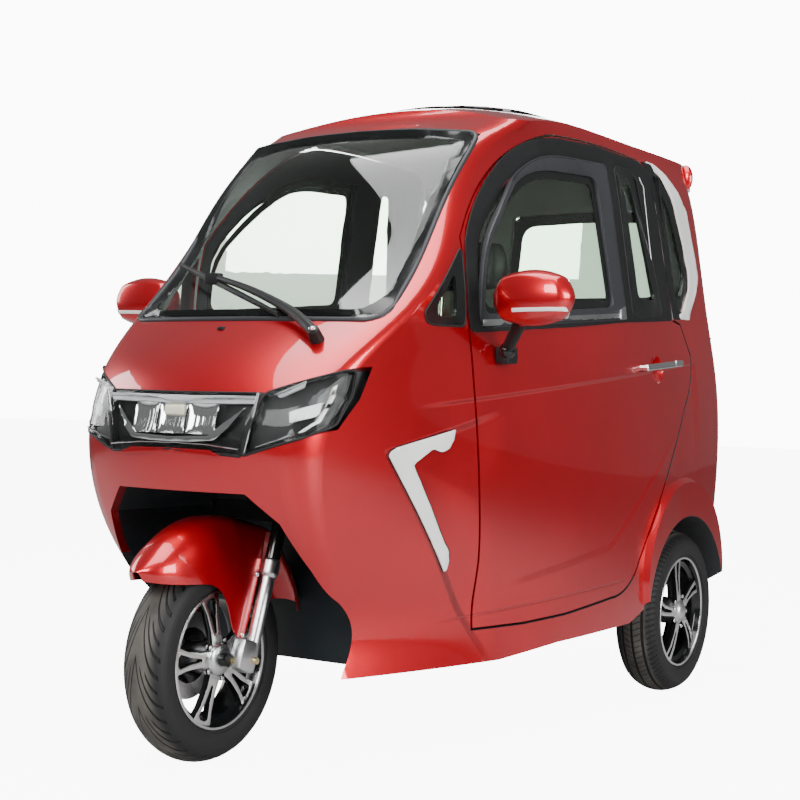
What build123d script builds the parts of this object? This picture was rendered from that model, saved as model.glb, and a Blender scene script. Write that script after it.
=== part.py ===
# Enclosed electric tricycle: one steered wheel in front, two driven wheels behind, a plastic cabin.
# It faces -Y, +X is its left side and +Z is up. The origin is on the ground under the middle.

from build123d import *
import math
import os

os.makedirs("parts", exist_ok=True)

# Driving dimensions, in millimetres and degrees
front_axle_y = -909.6
wheelbase = 1620.0
wheel_radius = 243.5
rim_radius = 163.5
front_tyre_width = 120.0
rear_tyre_width = 130.0
rear_wheel_x = 476.0
rake = 19.0
leg_behind_axle = 55.0
fork_leg_x = 92.0
panel_wall = 26.0
glass_wall = 5.0
glass_inset = 7.0
door_gap = 7.0
belt_z = 1125.0
roof_cut_z = 1485.0
floor_z = 292.0
floor_sheet = 10.0
rear_floor_z = 430.0
rear_floor_at = 1400.0
liner_sheet = 4.0
liner_end = 330.0
belt_front_z = 1039.0
side_split_at = 1262.0
tail_half_width = 415.0
tail_at = 1860.0
hood_end = 228.0
wheel_house_gap = 46.0
wheel_house_x = 388.0
wheel_house_sheet = 6.0
flare_x0 = 470.0
flare_x1 = 553.0
flare_taper = 30.0
rail_x = 220.0
rail_width = 40.0
rail_height = 50.0
rail_end_at = 1930.0
cross_member_ats = (350.0, 860.0, 1380.0)
neck_width = 50.0
neck_front_at = 225.0
neck_z = 712.0
head_tube_low = 395.0
head_tube_high = 560.0
handlebar_along = 850.0
handlebar_half_width = 240.0
handlebar_setback = 60.0
bench_half_width = 330.0
bench_z = 560.0
battery_z = 520.0
driver_seat_width = 400.0
dash_hood_z = 1050.0
hub_radius = 38.0
bead_inset = 12.0
barrel_radius = 157.0
rim_lip = 4.0
plate_z = 720.0
plate_hole_spacing = 160.0
plate_hole_radius = 3.5
tow_bore_radius = 8.0
stem_radius = 20.0
head_tube_radius = 30.0
front_pin_radius = 8.0
rear_shaft_radius = 12.0
handle_cup_radius = 60.0
handle_cup_depth = 14.0
handle_cup_at = 1442.0
handle_cup_z = 977.0
handle_skin_x = 504.0
handle_at = 1453.0
handle_z = 982.0
handle_post_spacing = 247.0
handle_tilt = 4.9
handle_height = 20.0
handle_thickness = 12.0
handle_reach = 30.0
handle_post_radius = 8.0
running_gap = 0.05
seat_gap = 0.3


def behind(distance):
    """Y of a place given as its distance behind the front axle."""
    return front_axle_y + distance


rear_axle_y = behind(wheelbase)

# Plan sections of the body skin, from the sill up: height, nose and tail on the centreline,
# front corner, middle of the side, rear corner, and the radius that rounds each corner.
section_columns = (
    "z",
    "nose",
    "front_x",
    "front_at",
    "front_round",
    "side_x",
    "side_at",
    "rear_x",
    "rear_at",
    "tail",
    "rear_round",
)
section_rows = (
    (205, 60, 300, 130, 60, 478, 800, 505, 1900, 1950, 100),
    (430, -30, 300, 60, 80, 486, 800, 507, 1940, 2000, 100),
    (740, -150, 330, -75, 110, 492, 800, 507, 2000, 2060, 100),
    (870, -118, 350, -30, 110, 486, 800, 500, 2010, 2062, 100),
    (1040, 90, 400, 150, 75, 470, 800, 485, 1995, 2045, 100),
    (1300, 335, 398, 400, 80, 450, 1200, 452, 1965, 2015, 100),
    (1553, 580, 380, 640, 90, 411, 1300, 412, 1935, 1985, 100),
    (1730, 750, 362, 810, 90, 382, 1350, 384, 1915, 1965, 100),
)
sections = [dict(zip(section_columns, row)) for row in section_rows]

# Crown of the roof: distance behind the front axle, height on the centreline, drop at the edge
roof_half_width = 428.0
roof_shoulder = 60.0
roof_columns = ("at", "top", "drop")
roof_rows = (
    (300, 1400, 40),
    (580, 1577, 40),
    (850, 1672, 62),
    (1150, 1700, 72),
    (1600, 1684, 52),
    (1900, 1662, 28),
    (2120, 1640, 24),
)
roof_sections = [dict(zip(roof_columns, row)) for row in roof_rows]


def body_loft(inset):
    """Closed body form, drawn in by the inset from the outer skin."""
    with BuildPart() as form:
        for row in sections:
            front_y = behind(row["front_at"])
            side_y = behind(row["side_at"])
            rear_y = behind(row["rear_at"])
            with BuildSketch(Plane.XY.offset(row["z"])) as plan:
                with BuildLine():
                    ThreePointArc(
                        (-row["front_x"], front_y),
                        (0, behind(row["nose"])),
                        (row["front_x"], front_y),
                    )
                    ThreePointArc(
                        (row["front_x"], front_y),
                        (row["side_x"], side_y),
                        (row["rear_x"], rear_y),
                    )
                    ThreePointArc(
                        (row["rear_x"], rear_y),
                        (0, behind(row["tail"])),
                        (-row["rear_x"], rear_y),
                    )
                    ThreePointArc(
                        (-row["rear_x"], rear_y),
                        (-row["side_x"], side_y),
                        (-row["front_x"], front_y),
                    )
                make_face()
                corners = plan.vertices().sort_by(Axis.Y)
                fillet(corners[:2], row["front_round"])
                fillet(plan.vertices().sort_by(Axis.Y)[-2:], row["rear_round"])
                if inset:
                    offset(amount=-inset)
        loft()
    return form.part


def roof_loft(inset):
    """Everything that lies under the crowned roof, lowered by the inset."""
    with BuildPart() as form:
        for row in roof_sections:
            half = roof_half_width - inset
            top = row["top"] - inset
            with BuildSketch(Plane.XZ.offset(-behind(row["at"]))) as arch:
                with BuildLine():
                    Polyline((-half, top - row["drop"]), (-half, 0), (half, 0), (half, top - row["drop"]))
                    ThreePointArc((-half, top - row["drop"]), (0, top), (half, top - row["drop"]))
                make_face()
                fillet(arch.vertices().sort_by(Axis.Y)[-2:], roof_shoulder - inset)
        loft()
    return form.part


def side_place(point):
    """Place in the side view of a point given by its distance behind the axle and height."""
    return (behind(point[0]), point[1])


def is_arc(item):
    """Whether an item of an outline is a pair of points, which stands for an arc."""
    return isinstance(item[0], tuple)


def side_lines(items):
    """Lines round a side outline; a pair of points is an arc through the first to the second."""
    ends = [item[1] if is_arc(item) else item for item in items]
    for start, item in zip(ends[-1:] + ends[:-1], items):
        if is_arc(item):
            ThreePointArc(side_place(start), side_place(item[0]), side_place(item[1]))
        else:
            Line(side_place(start), side_place(item))


def side_prism(items, grow=0.0, depth=700.0):
    """Prism across the vehicle's left side from a side outline."""
    with BuildPart() as prism:
        with BuildSketch(Plane.YZ):
            with BuildLine():
                side_lines(items)
            make_face()
            if grow:
                offset(amount=grow, kind=Kind.INTERSECTION)
        extrude(amount=depth)
    return prism.part


def front_prism(points, start, end, grow=0.0):
    """Prism along the vehicle from an outline of (x, height), between two distances."""
    with BuildPart() as prism:
        with BuildSketch(Plane.XZ.offset(-behind(end))):
            with BuildLine():
                Polyline(*points, close=True)
            make_face()
            if grow:
                offset(amount=grow, kind=Kind.INTERSECTION)
        extrude(amount=end - start)
    return prism.part


def block(x0, x1, at0, at1, z0, z1):
    """Plain block between two corners."""
    with BuildPart() as solid:
        with BuildSketch(Plane.XY.offset(z0)):
            with Locations(((x0 + x1) / 2, behind((at0 + at1) / 2))):
                Rectangle(x1 - x0, at1 - at0)
        extrude(amount=z1 - z0)
    return solid.part


def mirrored(points):
    """Left half of an outline with its mirror image."""
    return list(points) + [(-x, z) for x, z in reversed(points) if x > 0]


def body_form(inset):
    """The cabin form with its crowned roof, drawn in by the inset."""
    above_roof = block(-700, 700, -400, 2300, roof_cut_z, 1800) - roof_loft(inset)
    return body_loft(inset) - above_roof


outer = body_form(0)
inner = body_form(panel_wall)
shell = outer - inner
glass_skin = body_form(glass_inset) - body_form(glass_inset + glass_wall)


# Outlines seen from the side: distance behind the front axle, height; a pair is an arc
door_outline = [
    (452, 1036),
    (438, 1099),
    (440, 1262),
    ((660, 1474), (930, 1584)),
    ((1190, 1598), (1500, 1592)),
    (1550, 1570),
    (1610, 1120),
    (1665, 1110),
    (1720, 1016),
    ((1694, 942), (1640, 872)),
    (1417, 576),
    (1290, 424),
    ((1230, 361), (1130, 331)),
    (900, 306),
    (726, 297),
    (540, 296),
    (525, 468),
    (505, 619),
    (483, 816),
    (464, 963),
]
door_window = [
    (482, 1072),
    (482, 1250),
    ((672, 1418), (900, 1503)),
    (1177, 1519),
    (1209, 1131),
]
door_pane = [(1345, 1128), (1325, 1530), (1440, 1545), (1515, 1190), (1500, 1140)]
quarter_window = [(272, 1056), (420, 1228), (420, 1050)]
rear_side_window = [(1580, 1560), (1660, 1560), (1768, 1259), (1690, 1150), (1638, 1146)]
under_sill = [
    (-300, 100),
    (-300, 205),
    (630, 208),
    (870, 230),
    (1246, 246),
    (1343, 281),
    (1990, 330),
    (2300, 430),
    (2300, 100),
]
flare_outline = [(1295, 250), (1612, 684), (1945, 300)]
dash_outline = [(-60, 800), (-60, 925), (100, 985), (250, 962), (285, 900), (270, 800)]
# Seat outlines: distance behind the front axle, height above the seat's base
driver_seat_outline = [
    (720, 0),
    (720, 90),
    (760, 102),
    (1040, 92),
    (1080, 160),
    (1130, 480),
    (1150, 630),
    (1100, 660),
    (1108, 810),
    (1190, 805),
    (1205, 630),
    (1165, 180),
    (1130, 0),
]
rear_seat_outline = [
    (1395, 0),
    (1390, 80),
    (1440, 95),
    (1760, 80),
    (1800, 160),
    (1850, 530),
    (1900, 530),
    (1905, 480),
    (1840, 80),
    (1815, 0),
]
spoiler_outline = [(1880, 1720), (2100, 1720), (2100, 1592), (2010, 1578), (1880, 1545)]
spoiler_plan = [(-410, 1900), (0, 2060), (410, 1900)]

# Left halves of outlines seen from the front: x, height
arch_outline = [(0, 640), (185, 640), (252, 575), (285, 467), (297, 385), (298, 253), (298, 90)]
windscreen_outline = [(338, 1039), (362, 1045), (375, 1062), (351, 1549), (150, 1568), (0, 1572)]
corner_lamp_outline = [(187, 724), (221, 868), (383, 935), (372, 860), (355, 790), (314, 766)]
centre_lamp_outline = [(0, 736), (187, 724), (221, 868), (0, 866)]
nose_outline = [(0, 736), (187, 724), (179, 640), (179, 600), (0, 600)]
hood_outline = [(0, 866), (221, 868), (383, 935), (409, 988), (411, 1039), (0, 1039)]
rear_window_outline = [(0, 1185), (300, 1190), (262, 1500), (0, 1510)]


def write(node, solid):
    """Label a finished piece and write its STEP file."""
    solid.label = node
    export_step(solid, f"parts/{node}.step")


def write_pair(name, solid):
    """Write the left piece and its mirror image."""
    write(f"{name}_left", solid)
    write(f"{name}_right", mirror(solid, Plane.YZ))


def axle_disc(at, radius, x0, x1):
    """Cylinder about an axle line, between two places across the vehicle."""
    with BuildPart() as disc:
        with BuildSketch(Plane.YZ.offset(x0)):
            with Locations((behind(at), wheel_radius)):
                Circle(radius)
        extrude(amount=x1 - x0)
    return disc.part


outer = body_form(0)
inner = body_form(panel_wall)
shell = outer - inner
glass_skin = body_form(glass_inset) - body_form(glass_inset + glass_wall)

under_cut = side_prism(under_sill)
left_half = block(0, 700, -400, 2300, 0, 1800)
left_shell = (shell & left_half) - under_cut
door_hole = side_prism(door_outline, door_gap)
arch_cut = front_prism(mirrored(arch_outline), -400, 500)
windscreen_cut = front_prism(mirrored(windscreen_outline), -400, 760)
corner_lamp_cut = front_prism(corner_lamp_outline, -400, 160)
centre_lamp_cut = front_prism(mirrored(centre_lamp_outline), -400, 160)
nose_cut = front_prism(mirrored(nose_outline), -400, 160)
hood_cut = front_prism(mirrored(hood_outline), -400, hood_end)
rear_window_cut = front_prism(mirrored(rear_window_outline), 1880, 2300)
tail_lamp_cut = block(335, 700, 1930, 2300, 860, 1085)
wheel_house_radius = wheel_radius + wheel_house_gap

# Doors with their window frames and glass
door = (left_shell & side_prism(door_outline)) - side_prism(door_window) - side_prism(door_pane)
handle_cup_x = handle_skin_x + handle_cup_radius - handle_cup_depth
handle_cup = Pos(handle_cup_x, behind(handle_cup_at), handle_cup_z) * Sphere(handle_cup_radius)
door = door - handle_cup
write_pair("door", door)
write_pair("door_glass", (glass_skin & side_prism(door_window)) + (glass_skin & side_prism(door_pane)))

# Door handles: a grip over the cup on two posts
with BuildPart() as handle:
    with BuildSketch(Plane.YZ.offset(handle_skin_x + handle_reach - handle_thickness)):
        with Locations((behind(handle_at), handle_z)):
            SlotCenterToCenter(handle_post_spacing, handle_height, rotation=handle_tilt)
    extrude(amount=handle_thickness)
    fillet(handle.faces().sort_by(Axis.X)[-1].edges(), handle_thickness / 2)
    with BuildSketch(Plane.YZ.offset(handle_skin_x - panel_wall)):
        with Locations((behind(handle_at), handle_z)):
            with PolarLocations(handle_post_spacing / 2, 2, start_angle=handle_tilt):
                Circle(handle_post_radius)
    extrude(amount=panel_wall + handle_reach - handle_thickness)
write_pair("door_handle", handle.part - outer)

# Fixed glass
write_pair("quarter_glass", glass_skin & side_prism(quarter_window))
write_pair("rear_side_glass", glass_skin & side_prism(rear_side_window))
write("windscreen", glass_skin & windscreen_cut)
write("rear_window", glass_skin & rear_window_cut)

# Lamps in the skin
write_pair("corner_lamp", left_shell & corner_lamp_cut)
write("centre_lamp", shell & centre_lamp_cut)
write_pair("tail_lamp", left_shell & tail_lamp_cut)

# Nose panel and hood
write("nose_panel", (shell & nose_cut) - arch_cut)
write("hood", shell & hood_cut)

# Front side panels, from the nose to the rear wheel and under the door
front_side = (left_shell & block(0, 700, -400, side_split_at, 0, belt_front_z)) - door_hole - arch_cut
for cut in (corner_lamp_cut, centre_lamp_cut, nose_cut, hood_cut):
    front_side = front_side - cut
write_pair("front_side", front_side)

# Rear side panels with wheel flares and wheel houses
with BuildPart() as flare:
    with BuildSketch(Plane.YZ.offset(flare_x0)):
        with BuildLine():
            flare_edge = ThreePointArc(*[(behind(at), z) for at, z in flare_outline])
            Line(flare_edge @ 1, flare_edge @ 0)
        make_face()
    extrude(amount=flare_x1 - flare_x0, taper=flare_taper)
wheel_house = axle_disc(
    wheelbase, wheel_house_radius + wheel_house_sheet, wheel_house_x - wheel_house_sheet, flare_x1
)
wheel_room = axle_disc(wheelbase, wheel_house_radius, wheel_house_x, 700)
tail_room = block(-tail_half_width, tail_half_width, tail_at, 2300, 0, belt_z)
rear_side = (left_shell & block(0, 700, side_split_at, 2300, 0, belt_z)) - tail_room
rear_side = rear_side - door_hole - tail_lamp_cut
rear_side = rear_side + (flare.part - inner - door_hole)
rear_side = rear_side + (wheel_house & inner & block(0, 700, 1000, 2000, floor_z, belt_z))
write_pair("rear_side", rear_side - wheel_room)

# Tail panel
tail = (shell & tail_room) - under_cut - mirror(under_cut, Plane.YZ)
tail = tail - tail_lamp_cut - mirror(tail_lamp_cut, Plane.YZ)
with BuildPart() as plate_holes:
    with BuildSketch(Plane.XZ.offset(-behind(2200))):
        with Locations((-plate_hole_spacing / 2, plate_z), (plate_hole_spacing / 2, plate_z)):
            Circle(plate_hole_radius)
    extrude(amount=400)
write("tail_panel", tail - plate_holes.part)

# Roof with its pillars and the lip over the rear window
roof = shell - block(-700, 700, -400, 480, 0, belt_front_z) - block(-700, 700, 480, 2300, 0, belt_z)
with BuildPart() as spoiler:
    with BuildSketch(Plane.XY.offset(1500)):
        with BuildLine():
            lip_edge = ThreePointArc(*[(x, behind(at)) for x, at in spoiler_plan])
            Line(lip_edge @ 1, lip_edge @ 0)
        make_face()
    extrude(amount=300)
lip_profile = side_prism(spoiler_outline)
lip = spoiler.part & (lip_profile + mirror(lip_profile, Plane.YZ)) & roof_loft(0)
roof = roof + (lip - inner)
for cut in (door_hole, side_prism(quarter_window), side_prism(rear_side_window)):
    roof = roof - cut - mirror(cut, Plane.YZ)
write("roof", roof - windscreen_cut - rear_window_cut)

# Steering axis: it leans back and passes through the fork legs
lean = math.radians(rake)
steer_plane = Plane(
    origin=(0, behind(leg_behind_axle), wheel_radius),
    x_dir=(1, 0, 0),
    z_dir=(0, math.sin(lean), math.cos(lean)),
)


def steer_offset(along):
    """Plane square to the steering axis, at a distance up it from axle height."""
    return steer_plane.offset(along)


# Chassis: rails, cross members, neck post and head tube
with BuildPart() as chassis:
    for x in (-rail_x, rail_x):
        with BuildSketch(Plane.XY.offset(floor_z - rail_height)):
            with Locations((x, behind((liner_end + rear_floor_at + floor_sheet) / 2))):
                Rectangle(rail_width, rear_floor_at + floor_sheet - liner_end)
        extrude(amount=rail_height)
        with BuildSketch(Plane.XY.offset(rear_floor_z - rail_height)):
            with Locations((x, behind((rear_floor_at + floor_sheet + rail_end_at) / 2))):
                Rectangle(rail_width, rail_end_at - rear_floor_at - floor_sheet)
        extrude(amount=rail_height)
        with BuildSketch(Plane.XY.offset(floor_z - rail_height)):
            with Locations((x, behind(rear_floor_at + floor_sheet + rail_width / 2))):
                Rectangle(rail_width, rail_width)
        extrude(amount=rear_floor_z - floor_z + rail_height)
    for at in cross_member_ats:
        with BuildSketch(Plane.XY.offset(floor_z - rail_height)):
            with Locations((0, behind(at))):
                Rectangle(2 * rail_x, rail_width)
        extrude(amount=rail_height)
    with BuildSketch(Plane.XY.offset(rear_floor_z - rail_height)):
        with Locations((0, behind(rail_end_at - rail_width / 2))):
            Rectangle(2 * rail_x, rail_width)
    extrude(amount=rail_height)
    with BuildSketch(Plane.XY.offset(floor_z - rail_height)):
        with Locations((0, behind(liner_end + rail_width / 2))):
            Rectangle(neck_width, rail_width)
    extrude(amount=neck_z - floor_z + rail_height)
    with BuildSketch(Plane.XY.offset(neck_z - rail_width)):
        with Locations((0, behind((liner_end + neck_front_at) / 2))):
            Rectangle(neck_width, liner_end - neck_front_at)
    extrude(amount=rail_width)
    with BuildSketch(steer_offset(head_tube_low)):
        Circle(head_tube_radius)
    extrude(amount=head_tube_high - head_tube_low)
    with BuildSketch(steer_offset(head_tube_low - 50)):
        Circle(stem_radius + running_gap)
    extrude(amount=head_tube_high - head_tube_low + 100, mode=Mode.SUBTRACT)
    with BuildSketch(Plane.XY.offset(rear_floor_z - rail_height)):
        with Locations((0, behind(rail_end_at - rail_width / 2))):
            Circle(tow_bore_radius)
    extrude(amount=rail_height, mode=Mode.SUBTRACT)
write("chassis", chassis.part)
neck = block(-neck_width / 2, neck_width / 2, liner_end, liner_end + rail_width, 0, neck_z)

# Floor pan with the step up to the rear floor and the rear bench base
floor_pan = block(-600, 600, liner_end, rear_floor_at, floor_z, floor_z + floor_sheet)
floor_pan = floor_pan + block(
    -600, 600, rear_floor_at, rear_floor_at + floor_sheet, floor_z, rear_floor_z + floor_sheet
)
floor_pan = floor_pan + block(
    -600, 600, rear_floor_at, 2200, rear_floor_z, rear_floor_z + floor_sheet
)
house_room = axle_disc(wheelbase, wheel_house_radius + wheel_house_sheet, wheel_house_x - wheel_house_sheet, 700)
floor_pan = (floor_pan & inner) - neck - house_room - mirror(house_room, Plane.YZ)
floor_pan = floor_pan + block(
    -bench_half_width, bench_half_width, 1440, 1830, rear_floor_z + floor_sheet, bench_z
)
write("floor_pan", floor_pan)

# Wheel arch liner around the steered wheel
liner_ring = front_prism(mirrored(arch_outline), -400, liner_end, liner_sheet)
liner = liner_ring - front_prism(mirrored(arch_outline), -400, liner_end - liner_sheet)
with BuildPart() as stem_hole:
    with BuildSketch(steer_offset(head_tube_low)):
        Circle(head_tube_radius + 1)
    extrude(amount=200)
liner = (liner & inner) - stem_hole.part
write("wheel_arch_liner", liner)

# Dashboard with its instrument hood, open in the middle for the steering stem
dash = side_prism(dash_outline) + mirror(side_prism(dash_outline), Plane.YZ)
dash = dash & inner
dash = dash + block(-115, 115, 165, 215, 900, dash_hood_z)
dash = dash - block(-45, 45, 200, 420, 700, 1200)
write("dashboard", dash)

# Battery block under the driver
write("battery", block(-190, 190, 760, 1100, floor_z + floor_sheet, battery_z))

# Seats, each with its cushion and back
seat_round = 18.0
for node, outline, base_z, width in (
    ("driver_seat", driver_seat_outline, battery_z + seat_gap, driver_seat_width),
    ("rear_seat", rear_seat_outline, bench_z + seat_gap, 2 * bench_half_width),
):
    with BuildPart() as seat:
        with BuildSketch(Plane.YZ.offset(-width / 2)) as profile:
            with BuildLine():
                Polyline(*[(behind(at), base_z + height) for at, height in outline], close=True)
            make_face()
            upper = profile.vertices().filter_by(lambda corner: corner.Z > base_z + 1)
            fillet(upper, seat_round)
        extrude(amount=width)
    write(node, seat.part)

# Rear axle with its motor housing, brackets under the rails and end flanges
axle_end_x = 395.0
axle_tube_radius = 28.0
motor_radius = 85.0
motor_half_length = 100.0
with BuildPart() as rear_axle:
    with BuildSketch(Plane.YZ.offset(-axle_end_x)):
        with Locations((rear_axle_y, wheel_radius)):
            Circle(axle_tube_radius)
    extrude(amount=2 * axle_end_x)
    with BuildSketch(Plane.YZ.offset(-motor_half_length)):
        with Locations((rear_axle_y, wheel_radius)):
            Circle(motor_radius)
    extrude(amount=2 * motor_half_length)
    shaft_end_x = rear_wheel_x + 42
    with BuildSketch(Plane.YZ.offset(-shaft_end_x)):
        with Locations((rear_axle_y, wheel_radius)):
            Circle(rear_shaft_radius)
    extrude(amount=2 * shaft_end_x)
    for x in (-rail_x, rail_x):
        with BuildSketch(Plane.XY.offset(wheel_radius)):
            with Locations((x, rear_axle_y)):
                Rectangle(rail_width, 70)
        extrude(amount=rear_floor_z - rail_height - wheel_radius)
write("rear_axle", rear_axle.part)


def tyre(width, x, y):
    """Tyre about a wheel axle, with a rounded tread and sidewalls."""
    half = width / 2
    bead = half - bead_inset
    shoulder = wheel_radius - 22
    with BuildPart() as ring:
        with BuildSketch(Plane.XZ.offset(-y)):
            with BuildLine():
                right_side = Polyline(
                    (x + bead, wheel_radius + barrel_radius),
                    (x + bead, wheel_radius + rim_radius),
                    (x + half, wheel_radius + rim_radius + 28),
                    (x + half - 8, wheel_radius + shoulder),
                )
                left_side = Polyline(
                    (x - half + 8, wheel_radius + shoulder),
                    (x - half, wheel_radius + rim_radius + 28),
                    (x - bead, wheel_radius + rim_radius),
                    (x - bead, wheel_radius + barrel_radius),
                )
                ThreePointArc(right_side @ 1, (x, 2 * wheel_radius), left_side @ 0)
                Line(left_side @ 1, right_side @ 0)
            make_face()
        revolve(axis=Axis((0, y, wheel_radius), (1, 0, 0)))
    return ring.part


def rim(width, x, y, bore):
    """Spoked rim: barrel with two lips, five double spokes near its outer face, and a bored hub."""
    bead = width / 2 - bead_inset
    barrel_inside = barrel_radius - 10
    spoke_length = barrel_inside - hub_radius + 6
    spoke_middle = (barrel_inside + hub_radius) / 2
    axle_point = (y, wheel_radius)
    with BuildPart() as wheel:
        with BuildSketch(Plane.YZ.offset(x - bead)):
            with Locations(axle_point):
                Circle(barrel_radius)
                Circle(barrel_inside, mode=Mode.SUBTRACT)
        extrude(amount=2 * bead)
        for lip_x in (x - bead - rim_lip, x + bead):
            with BuildSketch(Plane.YZ.offset(lip_x)):
                with Locations(axle_point):
                    Circle(rim_radius)
                    Circle(barrel_inside, mode=Mode.SUBTRACT)
            extrude(amount=rim_lip)
        with BuildSketch(Plane.YZ.offset(x - bead)):
            with Locations(axle_point):
                Circle(hub_radius)
        extrude(amount=2 * bead)
        with BuildSketch(Plane.YZ.offset(x + bead - 26)):
            with Locations(axle_point):
                with PolarLocations(spoke_middle, 5, start_angle=90):
                    with GridLocations(0, 28, 1, 2):
                        Rectangle(spoke_length, 15)
        extrude(amount=18)
        with BuildSketch(Plane.YZ.offset(x - bead)):
            with Locations(axle_point):
                Circle(bore)
        extrude(amount=2 * bead, mode=Mode.SUBTRACT)
    return wheel.part


write("front_tyre", tyre(front_tyre_width, 0, front_axle_y))
write("front_rim", rim(front_tyre_width, 0, front_axle_y, front_pin_radius + running_gap))
write_pair("rear_tyre", tyre(rear_tyre_width, rear_wheel_x, rear_axle_y))
write_pair("rear_rim", rim(rear_tyre_width, rear_wheel_x, rear_axle_y, rear_shaft_radius + running_gap))

# Fork: lower legs with axle lugs and the wheel pin
lower_leg_radius = 17.0
upper_leg_radius = 14.0
lower_leg_bottom = -25.0
lower_leg_top = 235.0
crown_low = 325.0
crown_high = 375.0
with BuildPart() as fork_legs:
    with BuildSketch(steer_offset(lower_leg_bottom)):
        with Locations((-fork_leg_x, 0), (fork_leg_x, 0)):
            Circle(lower_leg_radius)
    extrude(amount=lower_leg_top - lower_leg_bottom)
    for x in (-fork_leg_x - 11, fork_leg_x - 11):
        with BuildSketch(Plane.YZ.offset(x)):
            with BuildLine():
                Polyline(
                    (front_axle_y - 20, wheel_radius - 20),
                    (front_axle_y - 20, wheel_radius + 20),
                    (behind(leg_behind_axle), wheel_radius + 45),
                    (behind(leg_behind_axle), wheel_radius - 30),
                    close=True,
                )
            make_face()
        extrude(amount=22)
    with BuildSketch(Plane.YZ.offset(-fork_leg_x)):
        with Locations((front_axle_y, wheel_radius)):
            Circle(front_pin_radius)
    extrude(amount=2 * fork_leg_x)
write("fork_legs", fork_legs.part)

# Fork crown: upper tubes, clamp and steering stem
with BuildPart() as fork_crown:
    with BuildSketch(steer_offset(lower_leg_top)):
        with Locations((-fork_leg_x, 0), (fork_leg_x, 0)):
            Circle(upper_leg_radius)
    extrude(amount=crown_low - lower_leg_top)
    with BuildSketch(steer_offset(crown_low)):
        SlotCenterToCenter(2 * fork_leg_x, 56)
    extrude(amount=crown_high - crown_low)
    with BuildSketch(steer_offset(crown_high)):
        Circle(stem_radius)
    extrude(amount=head_tube_high + 12 - crown_high)
write("fork_crown", fork_crown.part)

# Handlebar on its post
bar_radius = 11.0
grip_radius = 17.0
with BuildPart() as handlebar:
    with BuildSketch(steer_offset(head_tube_high + 12)):
        Circle(stem_radius)
    extrude(amount=handlebar_along - head_tube_high - 12)
    bar_z = wheel_radius + handlebar_along * math.cos(lean)
    post_y = behind(leg_behind_axle + handlebar_along * math.sin(lean))
    bar_y = post_y + handlebar_setback
    with BuildSketch(Plane.YZ.offset(-stem_radius)):
        with Locations((post_y + handlebar_setback / 2, bar_z)):
            Rectangle(handlebar_setback, 2 * bar_radius)
    extrude(amount=2 * stem_radius)
    with BuildSketch(Plane.YZ.offset(-handlebar_half_width)):
        with Locations((bar_y, bar_z)):
            Circle(bar_radius)
    extrude(amount=2 * handlebar_half_width)
    for x in (-handlebar_half_width, handlebar_half_width - 120):
        with BuildSketch(Plane.YZ.offset(x)):
            with Locations((bar_y, bar_z)):
                Circle(grip_radius)
        extrude(amount=120)
write("handlebar", handlebar.part)

# Front fender: a crowned shell over the tyre, held by side tongues on the fork lugs
fender_sheet = 4.0
fender_half_width = fork_leg_x - lower_leg_radius - seat_gap
fender_top_radius = 318.0
fender_edge_radius = 268.0
fender_front_angle = 50.0
fender_sweep = 122.0
fender_tongue_outline = [(-40, 508), (105, 487), (72, 300), (50, 290), (30, 300)]
with BuildPart() as fender:
    tilt = math.radians(fender_front_angle)
    with BuildSketch(Plane(
        origin=(0, front_axle_y, wheel_radius),
        x_dir=(1, 0, 0),
        z_dir=(0, -math.cos(tilt), -math.sin(tilt)),
    )) as arch:
        with BuildLine():
            ThreePointArc(
                (-fender_half_width, fender_edge_radius),
                (0, fender_top_radius),
                (fender_half_width, fender_edge_radius),
            )
            Line((fender_half_width, fender_edge_radius), (fender_half_width - fender_sheet, fender_edge_radius))
            ThreePointArc(
                (fender_half_width - fender_sheet, fender_edge_radius),
                (0, fender_top_radius - fender_sheet),
                (-fender_half_width + fender_sheet, fender_edge_radius),
            )
            Line((-fender_half_width + fender_sheet, fender_edge_radius), (-fender_half_width, fender_edge_radius))
        make_face()
    revolve(axis=Axis((0, front_axle_y, wheel_radius), (1, 0, 0)), revolution_arc=-fender_sweep)
    for x in (-fender_half_width, fender_half_width - fender_sheet):
        with BuildSketch(Plane.YZ.offset(x)):
            with BuildLine():
                Polyline(*[(behind(at), z) for at, z in fender_tongue_outline], close=True)
            make_face()
        extrude(amount=fender_sheet)
write("front_fender", fender.part)

# Mirrors: shell, arm and round base on the door
mirror_x = 605.0
mirror_at = 462.0
mirror_z = 1124.0
mirror_height = 116.0
with BuildPart() as mirror_shell:
    with BuildSketch(Plane.XY.offset(mirror_z - mirror_height / 2)):
        with Locations((mirror_x, behind(mirror_at))):
            RectangleRounded(190, 80, 36)
    extrude(amount=mirror_height)
    fillet(mirror_shell.edges().group_by(Axis.Z)[0] + mirror_shell.edges().group_by(Axis.Z)[-1], 34)
arm_foot = (472, behind(570), 988)
with BuildPart() as mirror_arm:
    with BuildSketch(Plane(origin=arm_foot, z_dir=(105, -90, 95))):
        Circle(11)
    extrude(amount=170)
with BuildPart() as mirror_base:
    with BuildSketch(Plane.YZ.offset(440)):
        with Locations((behind(570), 988)):
            Circle(19)
    extrude(amount=42)
mirror_foot = mirror_base.part - outer
write_pair("mirror", mirror_shell.part + mirror_arm.part + mirror_foot)
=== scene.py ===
import math
from collections import Counter
from mathutils import Matrix, Vector
from mathutils.bvhtree import BVHTree
from mathutils.geometry import delaunay_2d_cdt
import bpy


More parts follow.
